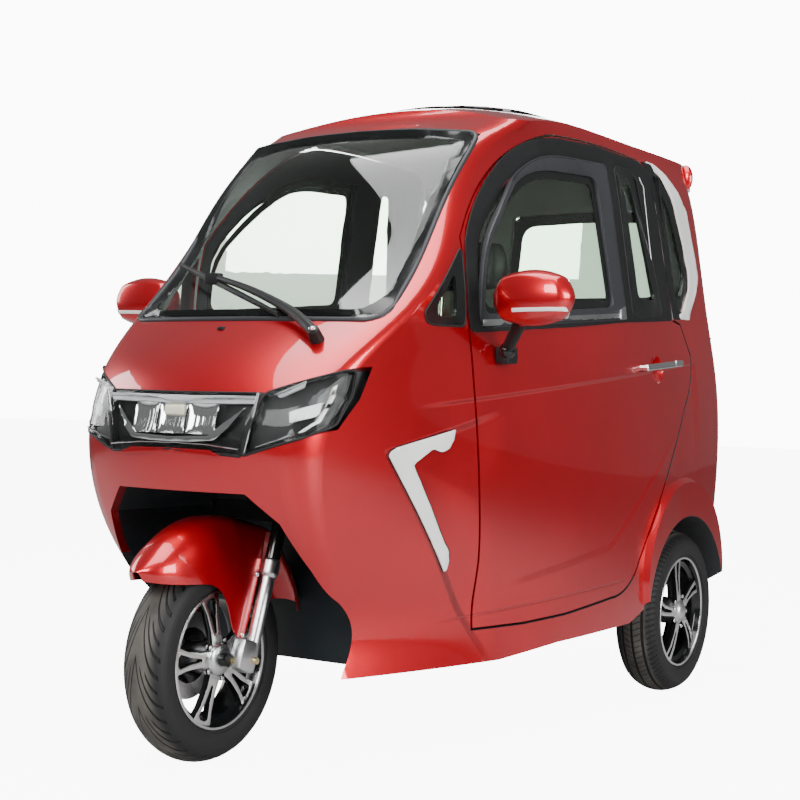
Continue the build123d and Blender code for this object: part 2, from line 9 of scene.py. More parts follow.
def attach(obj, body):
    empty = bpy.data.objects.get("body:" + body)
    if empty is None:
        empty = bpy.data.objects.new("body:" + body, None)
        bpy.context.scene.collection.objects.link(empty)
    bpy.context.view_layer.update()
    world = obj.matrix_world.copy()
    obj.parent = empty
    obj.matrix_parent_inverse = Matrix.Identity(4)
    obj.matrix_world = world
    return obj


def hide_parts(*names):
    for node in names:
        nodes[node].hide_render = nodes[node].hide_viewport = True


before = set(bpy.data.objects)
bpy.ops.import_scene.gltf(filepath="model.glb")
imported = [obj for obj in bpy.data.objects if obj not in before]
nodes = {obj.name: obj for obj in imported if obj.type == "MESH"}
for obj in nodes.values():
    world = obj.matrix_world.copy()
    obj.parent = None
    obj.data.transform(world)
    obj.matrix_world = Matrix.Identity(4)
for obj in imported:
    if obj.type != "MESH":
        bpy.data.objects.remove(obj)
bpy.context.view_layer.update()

# Camera
# It stands to the front left of the tricycle, a little above half its height,
# with a long lens and a slight tilt of the picture, as the photograph was taken.


def placed(name, data):
    """New object of the scene from its data."""
    item = bpy.data.objects.new(name, data)
    bpy.context.scene.collection.objects.link(item)
    return item


view_turn = math.radians(32.15)
view_drop = math.radians(0.07)
view_roll = math.radians(1.57)
camera_place = Vector((2.4017, -3.8959, 0.8652))
camera_data = bpy.data.cameras.new("camera")
camera_data.lens = 72.8
camera_data.sensor_width = 36.0
camera = placed("camera", camera_data)
forward = Vector((
    -math.sin(view_turn) * math.cos(view_drop),
    math.cos(view_turn) * math.cos(view_drop),
    -math.sin(view_drop),
))
level_right = Vector((math.cos(view_turn), math.sin(view_turn), 0.0))
level_up = level_right.cross(forward)
right = level_right * math.cos(view_roll) + level_up * math.sin(view_roll)
up = level_up * math.cos(view_roll) - level_right * math.sin(view_roll)
camera.matrix_world = Matrix((
    (right.x, up.x, -forward.x, camera_place.x),
    (right.y, up.y, -forward.y, camera_place.y),
    (right.z, up.z, -forward.z, camera_place.z),
    (0.0, 0.0, 0.0, 1.0),
))
bpy.context.scene.camera = camera

# Floor and studio light
# The floor is one plain pale sheet. The light is a soft grey sky that shows white behind
# the tricycle, with large soft panels above, to its left, in front and behind.
floor_glow = 9.0
sky_in_paint = 0.18
sky_seen = 11.0
sky_through_glass = 0.17


def calculator(tree):
    """Returns a function that adds one math node and gives its result socket."""
    def calc(operation, first, second=None, third=None):
        node = tree.nodes.new("ShaderNodeMath")
        node.operation = operation
        for socket, value in zip(node.inputs, (first, second, third)):
            if value is None:
                continue
            if isinstance(value, (int, float)):
                socket.default_value = value
            else:
                tree.links.new(value, socket)
        return node.outputs[0]
    return calc


def finish_of(material):
    """Inputs of a material's surface."""
    return material.node_tree.nodes["Principled BSDF"].inputs


def new_material(name, colour, roughness, metallic=0.0):
    material = bpy.data.materials.new(name)
    material.use_nodes = True
    finish = finish_of(material)
    finish["Base Color"].default_value = (*colour, 1)
    finish["Roughness"].default_value = roughness
    finish["Metallic"].default_value = metallic
    return material


bpy.ops.mesh.primitive_plane_add(size=60, location=(0, 0, 0))
floor = bpy.context.object
floor.name = "floor"
floor_look = new_material("pale floor", (0.42, 0.42, 0.415), 0.6)
floor_tree = floor_look.node_tree
floor_path = floor_tree.nodes.new("ShaderNodeLightPath")
floor_shine = calculator(floor_tree)("MULTIPLY", floor_path.outputs["Is Camera Ray"], floor_glow)
floor_tree.links.new(floor_shine, finish_of(floor_look)["Emission Strength"])
finish_of(floor_look)["Emission Color"].default_value = (1, 1, 0.99, 1)
floor.data.materials.append(floor_look)
sky = bpy.data.worlds.new("studio")
sky.use_nodes = True
sky_tree = sky.node_tree
sky_path = sky_tree.nodes.new("ShaderNodeLightPath").outputs
calc = calculator(sky_tree)
straight = calc("LESS_THAN", sky_path["Glossy Depth"], 0.5)
through = calc("MULTIPLY", calc("MULTIPLY", straight, sky_path["Is Transmission Ray"]), sky_through_glass)
seen = calc("MAXIMUM", sky_path["Is Camera Ray"], through)
sky_strength = calc("MULTIPLY_ADD", seen, sky_seen - sky_in_paint, sky_in_paint)
sky_tree.links.new(sky_strength, sky_tree.nodes["Background"].inputs["Strength"])
sky_tree.nodes["Background"].inputs["Color"].default_value = (1, 1, 0.99, 1)
bpy.context.scene.world = sky


def soft_panel(name, place, aim, width, height, watts):
    lamp = bpy.data.lights.new(name, "AREA")
    lamp.shape = "RECTANGLE"
    lamp.size = width
    lamp.size_y = height
    lamp.energy = watts
    turn = (Vector(aim) - Vector(place)).to_track_quat("-Z", "Y").to_matrix().to_4x4()
    placed(name, lamp).matrix_world = Matrix.Translation(Vector(place)) @ turn


soft_panel("overhead panel", (0.4, -0.8, 4.4), (0, 0, 0.6), 3.2, 4.2, 270)
soft_panel("left panel", (5.0, -1.0, 1.9), (0, 0, 0.9), 2.4, 2.2, 240)
soft_panel("front panel", (1.2, -5.2, 3.2), (0, -0.5, 0.8), 2.6, 1.6, 230)
soft_panel("right panel", (-4.5, -1.0, 2.4), (0, 0, 0.8), 1.5, 2.6, 80)
soft_panel("rear panel", (-2.8, 4.4, 2.4), (0, 0.5, 0.9), 2.2, 1.6, 80)

# Painted cabin panels
# Moulded plastic panels sprayed with a deep candy red and a clear coat, screwed to the
# frame. Their side faces have pressings: a fold under the handles, a step along the foot
# of the door, a sunken field behind the white insert and a fine groove along the sill.
front_axle_y = -0.9096
rear_axle_y = 0.7104
wheel_z = 0.2435


def ramp(tree, value, low, high):
    """Smooth rise from 0 at low to 1 at high, or a fall where low is above high."""
    node = tree.nodes.new("ShaderNodeMapRange")
    node.interpolation_type = "SMOOTHSTEP"
    tree.links.new(value, node.inputs["Value"])
    node.inputs["From Min"].default_value = min(low, high)
    node.inputs["From Max"].default_value = max(low, high)
    node.inputs["To Min"].default_value = 0.0 if low < high else 1.0
    node.inputs["To Max"].default_value = 1.0 if low < high else 0.0
    return node.outputs["Result"]


def place_axes(tree):
    """Sockets with the X, Y and Z of the point being shaded, in metres."""
    place = tree.nodes.new("ShaderNodeTexCoord")
    split = tree.nodes.new("ShaderNodeSeparateXYZ")
    tree.links.new(place.outputs["Object"], split.inputs[0])
    return place.outputs["Object"], split.outputs[0], split.outputs[1], split.outputs[2]


def new_group(name, inputs, outputs):
    group = bpy.data.node_groups.new(name, "ShaderNodeTree")
    for label, kind, value in inputs:
        socket = group.interface.new_socket(label, in_out="INPUT", socket_type=kind)
        socket.default_value = value
    for label, kind in outputs:
        group.interface.new_socket(label, in_out="OUTPUT", socket_type=kind)
    return group, group.nodes.new("NodeGroupInput"), group.nodes.new("NodeGroupOutput")


def use_group(material, group, **values):
    node = material.node_tree.nodes.new("ShaderNodeGroup")
    node.node_tree = group
    for label, value in values.items():
        node.inputs[label].default_value = value
    return node


def bump_from(material, height, distance=1.0, strength=1.0):
    """Feeds a height, in metres times the distance, to the material's normal."""
    tree = material.node_tree
    bump = tree.nodes.new("ShaderNodeBump")
    bump.inputs["Distance"].default_value = distance
    bump.inputs["Strength"].default_value = strength
    tree.links.new(height, bump.inputs["Height"])
    tree.links.new(bump.outputs["Normal"], finish_of(material)["Normal"])


def noise_over(tree, scale, detail):
    """Socket with a noise of a given scale over a piece."""
    noise = tree.nodes.new("ShaderNodeTexNoise")
    noise.inputs["Detail"].default_value = detail
    tree.links.new(place_axes(tree)[0], noise.inputs["Vector"])
    tree.links.new(scale, noise.inputs["Scale"])
    return noise.outputs["Fac"]


# Cloudy variation of tone, for every finish that isn't quite even
mottle, mottle_in, mottle_out = new_group(
    "mottle",
    [("Scale", "NodeSocketFloat", 8.0), ("Low", "NodeSocketFloat", 0.0), ("High", "NodeSocketFloat", 1.0)],
    [("Value", "NodeSocketFloat")],
)
mottle_range = mottle.nodes.new("ShaderNodeMapRange")
mottle_range.inputs["From Min"].default_value = 0.3
mottle_range.inputs["From Max"].default_value = 0.7
mottle.links.new(noise_over(mottle, mottle_in.outputs["Scale"], 4), mottle_range.inputs["Value"])
mottle.links.new(mottle_in.outputs["Low"], mottle_range.inputs["To Min"])
mottle.links.new(mottle_in.outputs["High"], mottle_range.inputs["To Max"])
mottle.links.new(mottle_range.outputs["Result"], mottle_out.inputs["Value"])


def toned(material, colour, scale, low, high):
    """Socket with a colour whose brightness drifts in soft clouds."""
    tree = material.node_tree
    shade = tree.nodes.new("ShaderNodeHueSaturation")
    shade.inputs["Color"].default_value = (*colour, 1)
    tone = use_group(material, mottle, Scale=scale, Low=low, High=high)
    tree.links.new(tone.outputs["Value"], shade.inputs["Value"])
    return shade.outputs["Color"]


def mixed(tree, factor, first, second):
    """Socket with a blend of two colours, each of them a socket or a plain colour."""
    blend = tree.nodes.new("ShaderNodeMix")
    blend.data_type = "RGBA"
    tree.links.new(factor, blend.inputs["Factor"])
    for label, value in (("A", first), ("B", second)):
        if isinstance(value, tuple):
            blend.inputs[label].default_value = (*value, 1)
        else:
            tree.links.new(value, blend.inputs[label])
    return blend.outputs["Result"]


# Mask of the faces that look into the cabin, which are bare plastic and not paint
cabin_side, cabin_in, cabin_out = new_group(
    "cabin side", [("Back", "NodeSocketFloat", 1.2)], [("Mask", "NodeSocketFloat")])
cabin_place = cabin_side.nodes.new("ShaderNodeTexCoord")
cabin_middle = cabin_side.nodes.new("ShaderNodeVectorMath")
cabin_middle.operation = "SUBTRACT"
cabin_middle.inputs[1].default_value = (0.0, 0.05, 0.95)
cabin_facing = cabin_side.nodes.new("ShaderNodeVectorMath")
cabin_facing.operation = "DOT_PRODUCT"
cabin_side.links.new(cabin_place.outputs["Object"], cabin_middle.inputs[0])
cabin_side.links.new(cabin_middle.outputs[0], cabin_facing.inputs[0])
cabin_side.links.new(cabin_place.outputs["Normal"], cabin_facing.inputs[1])
cabin_calc = calculator(cabin_side)
_, cabin_x, cabin_y, _ = place_axes(cabin_side)
cabin_ahead = cabin_calc("LESS_THAN", cabin_y, cabin_in.outputs["Back"])
cabin_middle_third = cabin_calc("LESS_THAN", cabin_calc("ABSOLUTE", cabin_x), 0.43)
cabin_width = cabin_calc("MAXIMUM", cabin_calc("LESS_THAN", cabin_y, 1.0), cabin_middle_third)
cabin_ahead = cabin_calc("MULTIPLY", cabin_ahead, cabin_width)
cabin_mask = cabin_calc("MULTIPLY", ramp(cabin_side, cabin_facing.outputs["Value"], -0.16, -0.2), cabin_ahead)
cabin_side.links.new(cabin_mask, cabin_out.inputs["Mask"])

# Pressings of the side panels, as a height in metres
pressing, _, pressing_out = new_group("side pressing", [], [("Height", "NodeSocketFloat")])
calc = calculator(pressing)
_, _, press_y, press_z = place_axes(pressing)
along = calc("SUBTRACT", press_y, front_axle_y)
fold_line = calc("MULTIPLY_ADD", along, 0.103, 0.8246)
under_fold = calc("SUBTRACT", fold_line, press_z)
fold_step = calc("MULTIPLY", ramp(pressing, under_fold, 0.0, 0.015), ramp(pressing, under_fold, 0.4, 0.03))
fold_reach = calc("MULTIPLY", ramp(pressing, along, 0.24, 0.4), ramp(pressing, along, 1.76, 1.7))
fold = calc("MULTIPLY", calc("MULTIPLY", fold_step, fold_reach), -0.009)
shin_line = calc("MULTIPLY_ADD", along, 0.152, 0.2988)
knee_line = calc("MULTIPLY_ADD", along, 0.71, -0.3273)
step_line = calc("SMOOTH_MAX", shin_line, knee_line, 0.02)
under_step = calc("SUBTRACT", step_line, press_z)
step_reach = calc("MULTIPLY", ramp(pressing, along, 0.62, 0.86), ramp(pressing, along, 1.56, 1.4))
step = calc("MULTIPLY", calc("MULTIPLY", ramp(pressing, under_step, -0.012, 0.01), step_reach), 0.009)
from_edge = calc("ADD", calc("MULTIPLY", along, 0.777), calc("MULTIPLY_ADD", press_z, 0.629, -0.5944))
from_top = calc("ADD", calc("MULTIPLY", along, 0.236), calc("MULTIPLY_ADD", press_z, -0.972, 0.6758))
into_field = calc("SMOOTH_MIN", from_edge, from_top, 0.02)
field_rise = ramp(pressing, into_field, -0.012, 0.012)
field_step = calc("MULTIPLY", field_rise, ramp(pressing, into_field, 0.2, 0.05))
field = calc("MULTIPLY", calc("MULTIPLY", field_step, ramp(pressing, along, 0.62, 0.46)), -0.013)
groove_line = calc("MULTIPLY_ADD", along, 0.0655, 0.2918)
from_groove = calc("ABSOLUTE", calc("SUBTRACT", press_z, groove_line))
groove_reach = calc("MULTIPLY", ramp(pressing, along, 0.4, 0.5), ramp(pressing, along, 1.2, 1.19))
groove = calc("MULTIPLY", calc("MULTIPLY", ramp(pressing, from_groove, 0.004, 0.0), groove_reach), -0.0025)
pressed = calc("ADD", calc("ADD", fold, step), calc("ADD", field, groove))
pressing.links.new(pressed, pressing_out.inputs["Height"])

paint_red = (0.55, 0.0006, 0.009)
trim_grey = (0.032, 0.034, 0.037)
well_radius = 0.2902


def distance_of(calc, y, z, axle_y):
    """Socket with the distance of a point from an axle."""
    off_y = calc("SUBTRACT", y, axle_y)
    off_z = calc("SUBTRACT", z, wheel_z)
    return calc("SQRT", calc("ADD", calc("MULTIPLY", off_y, off_y), calc("MULTIPLY", off_z, off_z)))


def red_paint(name, pressed=False, inside=None, back=1.2, well=False):
    """Candy red under a clear coat; faces on the cabin side or in a wheel well are bare plastic."""
    material = new_material(name, paint_red, 0.3, 0.7)
    tree = material.node_tree
    finish = finish_of(material)
    finish["Coat IOR"].default_value = 1.55
    finish["Coat Roughness"].default_value = 0.025
    finish["Coat Weight"].default_value = 1.0
    colour = toned(material, paint_red, 2.5, 0.88, 1.06)
    if inside:
        calc = calculator(tree)
        mask = use_group(material, cabin_side, Back=back).outputs["Mask"]
        if well:
            _, paint_x, paint_y, paint_z = place_axes(tree)
            aside = calc("ABSOLUTE", paint_x)
            reach = distance_of(calc, paint_y, paint_z, rear_axle_y)
            well_edge = calc("MULTIPLY_ADD", calc("LESS_THAN", aside, 0.47), 0.007, well_radius)
            in_well = calc("LESS_THAN", reach, well_edge)
            above_flare = calc("GREATER_THAN", paint_z, 0.64)
            off_flare = calc("MAXIMUM", calc("LESS_THAN", aside, 0.485), above_flare)
            mask = calc("MAXIMUM", calc("MULTIPLY", mask, off_flare), in_well)
        colour = mixed(tree, mask, colour, inside)
        coat = calc("SUBTRACT", 1.0, mask)
        tree.links.new(coat, finish["Coat Weight"])
        tree.links.new(calc("MULTIPLY", coat, 0.7), finish["Metallic"])
        tree.links.new(calc("MULTIPLY_ADD", mask, 0.25, 0.3), finish["Roughness"])
    tree.links.new(colour, finish["Base Color"])
    if pressed:
        bump_from(material, use_group(material, pressing).outputs["Height"])
    return material


plain_red = red_paint("red paint")
headliner_grey = (0.42, 0.43, 0.42)
roof_red = red_paint("red paint of the roof", inside=headliner_grey, back=1.1)
shell_red = red_paint("red paint of the shell", inside=trim_grey)
side_red = red_paint("red paint of the sides", pressed=True, inside=trim_grey)
rear_red = red_paint("red paint of the rear sides", pressed=True, inside=trim_grey, well=True)


def dress(material, *names):
    """Gives carried-over nodes their finish."""
    for name in names:
        mesh = nodes[name].data
        mesh.materials.clear()
        mesh.materials.append(material)


def sides(name):
    return f"{name}_left", f"{name}_right"


dress(roof_red, "roof")
dress(shell_red, "hood", "nose_panel", "tail_panel")
dress(side_red, *sides("front_side"), *sides("door"))
dress(rear_red, *sides("rear_side"))

# Window glass
# Laminated windscreen and tempered side panes, faintly green, bonded into the openings.
# The rear quarter panes and the rear window are darker privacy glass.


def glass_material(name, tint):
    material = new_material(name, tint, 0.0)
    finish = finish_of(material)
    finish["Transmission Weight"].default_value = 1.0
    finish["IOR"].default_value = 1.45
    dust_and_sheen = use_group(material, mottle, Scale=30.0, Low=0.0, High=0.012)
    material.node_tree.links.new(dust_and_sheen.outputs["Value"], finish["Roughness"])
    return material


green_glass = glass_material("green glass", (0.78, 0.92, 0.77))
screen_glass = glass_material("windscreen glass", (0.9, 0.955, 0.92))
dark_glass = glass_material("dark glass", (0.6, 0.72, 0.62))
dress(green_glass, *sides("door_glass"), *sides("quarter_glass"))
dress(screen_glass, "windscreen")
dress(dark_glass, *sides("rear_side_glass"), "rear_window")

# Black borders, rubber seals and door frame covers
# Black ceramic paint is fired onto the edge of each pane, a rubber profile closes the
# joint to the body, and a matt black plastic cover clips over the upper frame of each door.


def side_marks(*marks):
    """Outline seen from the side: millimetres behind the axle, height, and any corner radius."""
    return [(front_axle_y + mark[0] / 1000, *(part / 1000 for part in mark[1:])) for mark in marks]


def front_marks(*marks):
    """Outline seen from the front, from millimetres across and height."""
    return [(x / 1000, z / 1000) for x, z in marks]


def both_halves(points):
    """Outline closed by its mirror image across the middle."""
    return list(points) + [(-x, z) for x, z in reversed(points) if x > 0]


def rounded(corners, radius, run=0.02):
    """Closed outline with its corners rounded off, by a radius of their own where they have one."""
    outline = []
    flat = [Vector(corner[:2]) for corner in corners]
    for index, corner in enumerate(flat):
        before = flat[index - 1] - corner
        after = flat[(index + 1) % len(flat)] - corner
        reach = corners[index][2] if len(corners[index]) > 2 else radius
        cut = min(reach, before.length * 0.49, after.length * 0.49)
        start = corner + before.normalized() * cut
        end = corner + after.normalized() * cut
        for step in range(5):
            outline.append(start.lerp(corner, step / 4).lerp(corner.lerp(end, step / 4), step / 4))
    filled = []
    for index, point in enumerate(outline):
        following = outline[(index + 1) % len(outline)]
        parts = max(1, math.ceil((following - point).length / run))
        filled.extend(point.lerp(following, part / parts) for part in range(parts))
    return filled


def inset(outline, distance):
    """Closed outline drawn in evenly by a distance."""
    turned = sum(
        outline[index - 1][0] * point[1] - outline[index - 1][1] * point[0]
        for index, point in enumerate(outline))
    inward = 1 if turned > 0 else -1
    drawn = []
    for index, point in enumerate(outline):
        run = Vector(outline[(index + 1) % len(outline)]) - Vector(outline[index - 1])
        drawn.append(Vector(point) + Vector((-run.y, run.x)).normalized() * distance * inward)
    return drawn


def within(outline, point):
    crossings = 0
    for index, corner in enumerate(outline):
        other = outline[index - 1]
        if (corner[1] > point[1]) != (other[1] > point[1]):
            reach = (point[1] - corner[1]) / (other[1] - corner[1])
            if point[0] < corner[0] + reach * (other[0] - corner[0]):
                crossings += 1
    return crossings % 2 == 1


def skin_of(*names):
    """Search tree over the faces of carried-over nodes or finished pieces."""
    points = []
    faces = []
    for name in names:
        mesh = bpy.data.objects[name].data
        start = len(points)
        points.extend(vertex.co.copy() for vertex in mesh.vertices)
        faces.extend([start + index for index in face.vertices] for face in mesh.polygons)
    return BVHTree.FromPolygons(points, faces)


# Each way of looking at the body: where a flat point starts and which way it is laid on
sights = {
    "left": (lambda u, v: Vector((0.9, u, v)), Vector((-1, 0, 0))),
    "front": (lambda u, v: Vector((u, -1.6, v)), Vector((0, 1, 0))),
    "rear": (lambda u, v: Vector((u, 1.6, v)), Vector((0, -1, 0))),
    "top": (lambda u, v: Vector((u, v, 2.2)), Vector((0, 0, -1))),
}


def laid_on(skin, sight, points, links, calm=0):
    """Places and outward normals of flat points laid on the skin, bridging its openings."""
    start, way = sights[sight]
    origins = [start(point[0], point[1]) for point in points]
    hits = [skin.ray_cast(origin, way) for origin in origins]
    depths = [hit[3] for hit in hits]
    normals = [-way if hit[1] is None else hit[1] * (-1 if hit[1].dot(way) > 0 else 1) for hit in hits]
    usual = sorted(depth for depth in depths if depth is not None)[len(depths) // 2 - depths.count(None) // 2]
    neighbours = [set() for _ in points]
    for first, second in links:
        neighbours[first].add(second)
        neighbours[second].add(first)
    open_points = [index for index, depth in enumerate(depths) if depth is None or depth > usual + 0.35]
    for index in open_points:
        depths[index] = usual
    for _ in range(200 if open_points else 0):
        for index in open_points:
            around = neighbours[index]
            depths[index] = sum(depths[other] for other in around) / max(1, len(around))
    for index in open_points:
        normals[index] = -way
    for _ in range(calm):
        depths = [
            (depth + sum(depths[other] for other in around) / len(around)) / 2 if around else depth
            for depth, around in zip(depths, neighbours)]
    for _ in range(3):
        normals = [
            sum((normals[other] for other in around), normal * 1.0).normalized()
            for normal, around in zip(normals, neighbours)]
    return [origin + way * depth for origin, depth in zip(origins, depths)], normals


def alone(piece):
    """Makes a piece the only selected one."""
    bpy.ops.object.select_all(action="DESELECT")
    piece.select_set(True)
    bpy.context.view_layer.objects.active = piece


def new_piece(name, points, faces):
    mesh = bpy.data.meshes.new(name)
    mesh.from_pydata(points, [], faces)
    piece = placed(name, mesh)
    alone(piece)
    return piece


def modify(piece, kind, **settings):
    """Adds a modifier and applies it."""
    alone(piece)
    modifier = piece.modifiers.new(kind.lower(), kind)
    for label, value in settings.items():
        setattr(modifier, label, value)
    bpy.ops.object.modifier_apply(modifier=modifier.name)


def soft_edges(piece, degrees=35):
    alone(piece)
    bpy.ops.object.shade_smooth_by_angle(angle=math.radians(degrees))


def wear(piece, material, body):
    """Gives a piece its one finish and the body that it rides on."""
    piece.data.materials.clear()
    piece.data.materials.append(material)
    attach(piece, body)
    return piece


def twin(piece, body):
    """Mirror image of a dressed left piece for the right side."""
    name = piece.name.replace("left", "right")
    copy = placed(name, piece.data.copy())
    copy.data.name = name
    copy.data.transform(Matrix.Scale(-1, 4, Vector((1, 0, 0))))
    copy.data.flip_normals()
    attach(copy, body.replace("left", "right"))
    return copy


def pair(piece, material, body):
    """Dresses a left piece and adds its twin; both are returned."""
    return wear(piece, material, body), twin(piece, body)


def triangulated(outline, holes, inner=()):
    """Flat points and triangles that fill an outline round its holes, also through inner points."""
    points = []
    edges = []
    for loop in (outline, *holes):
        start = len(points)
        points.extend(Vector(point) for point in loop)
        edges.extend((start + index, start + (index + 1) % len(loop)) for index in range(len(loop)))
    flat, _, faces, _, _, _ = delaunay_2d_cdt([*points, *inner], edges, [], 0, 1e-7)
    kept = []
    for face in faces:
        middle = sum((flat[index] for index in face), Vector((0, 0))) / len(face)
        if within(outline, middle) and not any(within(hole, middle) for hole in holes):
            kept.append(face)
    return flat, kept


def sheet(name, skin, sight, outline, holes=(), lift=0.002, thick=0.003, pitch=0.016, calm=6, edge=0.0008):
    """Thin moulded piece that follows the skin, cut to an outline with holes."""
    border = [Vector(point) for loop in (outline, *holes) for point in loop]
    low_u, high_u = min(p[0] for p in border), max(p[0] for p in border)
    low_v, high_v = min(p[1] for p in border), max(p[1] for p in border)
    inner = []
    for row in range(int((high_v - low_v) / pitch) + 1):
        for column in range(int((high_u - low_u) / pitch) + 1):
            spot = Vector((low_u + (column + 0.5 * (row % 2)) * pitch, low_v + row * pitch))
            if not within(outline, spot) or any(within(hole, spot) for hole in holes):
                continue
            if min((spot - other).length_squared for other in border) > (pitch * 0.55) ** 2:
                inner.append(spot)
    flat, kept = triangulated(outline, holes, inner)
    links = {(face[index - 1], face[index]) for face in kept for index in range(3)}
    used = sorted({index for face in kept for index in face})
    renumbered = {index: place for place, index in enumerate(used)}
    flat = [flat[index] for index in used]
    links = [(renumbered[first], renumbered[second]) for first, second in links]
    kept = [[renumbered[index] for index in face] for face in kept]
    places, normals = laid_on(skin, sight, flat, links, calm)
    top = [place + normal * lift for place, normal in zip(places, normals)]
    bottom = [place - normal * thick for place, normal in zip(top, normals)]
    count = len(flat)
    sides_used = Counter(frozenset((face[index - 1], face[index])) for face in kept for index in range(3))
    walls = [
        (face[index - 1], face[index], face[index] + count, face[index - 1] + count)
        for face in kept for index in range(3)
        if sides_used[frozenset((face[index - 1], face[index]))] == 1]
    under = [[index + count for index in reversed(face)] for face in kept]
    piece = new_piece(name, top + bottom, kept + under + [wall[::-1] for wall in walls])
    facing = sum(face.normal.dot(sights[sight][1]) * face.area for face in piece.data.polygons[:len(kept)])
    if facing > 0:
        piece.data.flip_normals()
    if edge:
        modify(piece, "BEVEL", width=edge, segments=2, limit_method="ANGLE", angle_limit=math.radians(50))
    soft_edges(piece)
    return piece


def welded(piece, distance):
    """Merges the doubled points of a piece and turns its faces outward."""
    bpy.ops.object.mode_set(mode="EDIT")
    bpy.ops.mesh.select_all(action="SELECT")
    bpy.ops.mesh.remove_doubles(threshold=distance)
    bpy.ops.mesh.normals_make_consistent(inside=False)
    bpy.ops.object.mode_set(mode="OBJECT")
    return piece


def meshed(name, curve):
    """Mesh piece from a thick curve."""
    alone(placed(name, curve))
    bpy.ops.object.convert(target="MESH")
    return welded(bpy.context.object, 0.00002)


def bead(name, skin, sight, outline, radius, lift=0.0, calm=3, closed=True):
    """Round rubber or metal profile that follows an outline on the skin."""
    links = [(index - 1, index) for index in range(0 if closed else 1, len(outline))]
    links = [(first % len(outline), second) for first, second in links]
    places, normals = laid_on(skin, sight, outline, links, calm)
    laid = [place + normal * lift for place, normal in zip(places, normals)]
    curve = bpy.data.curves.new(name, "CURVE")
    curve.dimensions = "3D"
    curve.bevel_depth = radius
    curve.bevel_resolution = 3
    spline = curve.splines.new("POLY")
    spline.points.add(len(laid) - 1)
    for spot, point in zip(spline.points, laid):
        spot.co = (*point, 1)
    spline.use_cyclic_u = closed
    curve.use_fill_caps = not closed
    piece = meshed(name, curve)
    soft_edges(piece, 60)
    return piece


# Fine grain of moulded plastic and rubber, as a height
grain, grain_in, grain_out = new_group(
    "fine grain", [("Scale", "NodeSocketFloat", 900.0)], [("Height", "NodeSocketFloat")])
grain.links.new(noise_over(grain, grain_in.outputs["Scale"], 2), grain_out.inputs["Height"])


def grained(name, colour, roughness, scale, depth, metallic=0.0, spread=0.12):
    """Moulded finish with a fine grain and a cloudy change of gloss."""
    material = new_material(name, colour, roughness, metallic)
    links = material.node_tree.links
    bump_from(material, use_group(material, grain, Scale=scale).outputs["Height"], depth)
    gloss = use_group(material, mottle, Scale=9.0, Low=roughness - spread / 2, High=roughness + spread / 2)
    links.new(gloss.outputs["Value"], finish_of(material)["Roughness"])
    links.new(toned(material, colour, 4.0, 0.9, 1.12), finish_of(material)["Base Color"])
    return material


matt_black = grained("matt black plastic", (0.009, 0.0095, 0.01), 0.5, 1200.0, 0.0002)
rubber = grained("seal rubber", (0.008, 0.008, 0.0085), 0.55, 700.0, 0.0003)
grey_rubber = grained("grey seal rubber", (0.028, 0.03, 0.033), 0.4, 700.0, 0.0002)
for dull in (matt_black, rubber, grey_rubber):
    finish_of(dull)["Specular IOR Level"].default_value = 0.3
ceramic = grained("black ceramic border", (0.008, 0.009, 0.009), 0.2, 400.0, 0.00002, spread=0.03)
white_gloss = grained("white gloss plastic", (0.82, 0.82, 0.8), 0.16, 300.0, 0.00003, spread=0.06)
finish_of(white_gloss)["Coat Weight"].default_value = 0.6
chrome = grained("chrome", (0.86, 0.87, 0.88), 0.07, 500.0, 0.00002, 1.0, 0.04)
satin_metal = grained("satin metal", (0.62, 0.63, 0.64), 0.3, 900.0, 0.0001, 1.0)

door_skin = skin_of("door_left")
upper_door = side_marks(
    (452, 1030), (439, 1099), (441, 1262, 200), (560, 1400, 200), (690, 1502, 200), (800, 1556, 200),
    (930, 1583, 200), (1190, 1596), (1499, 1590), (1548, 1569), (1608, 1121), (1260, 1098), (940, 1068))
drop_opening = side_marks(
    (494, 1046), (494, 1246, 120), (632, 1376, 200), (770, 1478, 200), (880, 1522, 200), (981, 1535, 200),
    (1236, 1546), (1246, 1538), (1268, 1135), (1260, 1110))
pane_opening = side_marks(
    (1302, 1541), (1322, 1556), (1412, 1556), (1436, 1540), (1530, 1152), (1514, 1128),
    (1340, 1116), (1318, 1128))
drop_seal_inside = side_marks(
    (508, 1078), (508, 1240, 120), (652, 1378, 200), (790, 1466, 200), (900, 1490, 200), (1172, 1504),
    (1196, 1138))
drop_clear = side_marks(
    (524, 1094), (524, 1234, 120), (664, 1360, 200), (800, 1444, 200), (904, 1468, 200), (1150, 1482),
    (1172, 1152))
pane_clear = side_marks((1346, 1508), (1400, 1508), (1484, 1178), (1370, 1168))
covers = sheet(
    "door_frame_cover_left", door_skin, "left", rounded(upper_door, 0.02),
    [rounded(drop_opening, 0.03), rounded(pane_opening, 0.02)], lift=0.003, thick=0.004, edge=0.0012)
pair(covers, matt_black, "door_left")
drop_seal = sheet(
    "drop_window_seal_left", door_skin, "left", inset(rounded(drop_opening, 0.03), -0.004),
    [rounded(drop_seal_inside, 0.03)], lift=0.0046, thick=0.011, pitch=0.009, calm=1)
pair(drop_seal, grey_rubber, "door_left")
drop_border = sheet(
    "drop_window_border_left", skin_of("door_glass_left"), "left", rounded(drop_seal_inside, 0.03),
    [rounded(drop_clear, 0.03)], lift=0.003, thick=0.0025, calm=1, edge=0)
pair(drop_border, ceramic, "door_left")
pane_border = sheet(
    "fixed_pane_border_left", door_skin, "left", rounded(pane_opening, 0.02),
    [rounded(pane_clear, 0.02)], lift=0.0034, thick=0.008, pitch=0.012, calm=12, edge=0)
pair(pane_border, ceramic, "door_left")
for bead_name, opening, corner in (
    ("drop_window_bead", drop_opening, 0.03),
    ("fixed_pane_bead", pane_opening, 0.02),
):
    ring = bead(f"{bead_name}_left", door_skin, "left", rounded(opening, corner), 0.003, 0.002)
    pair(ring, rubber, "door_left")
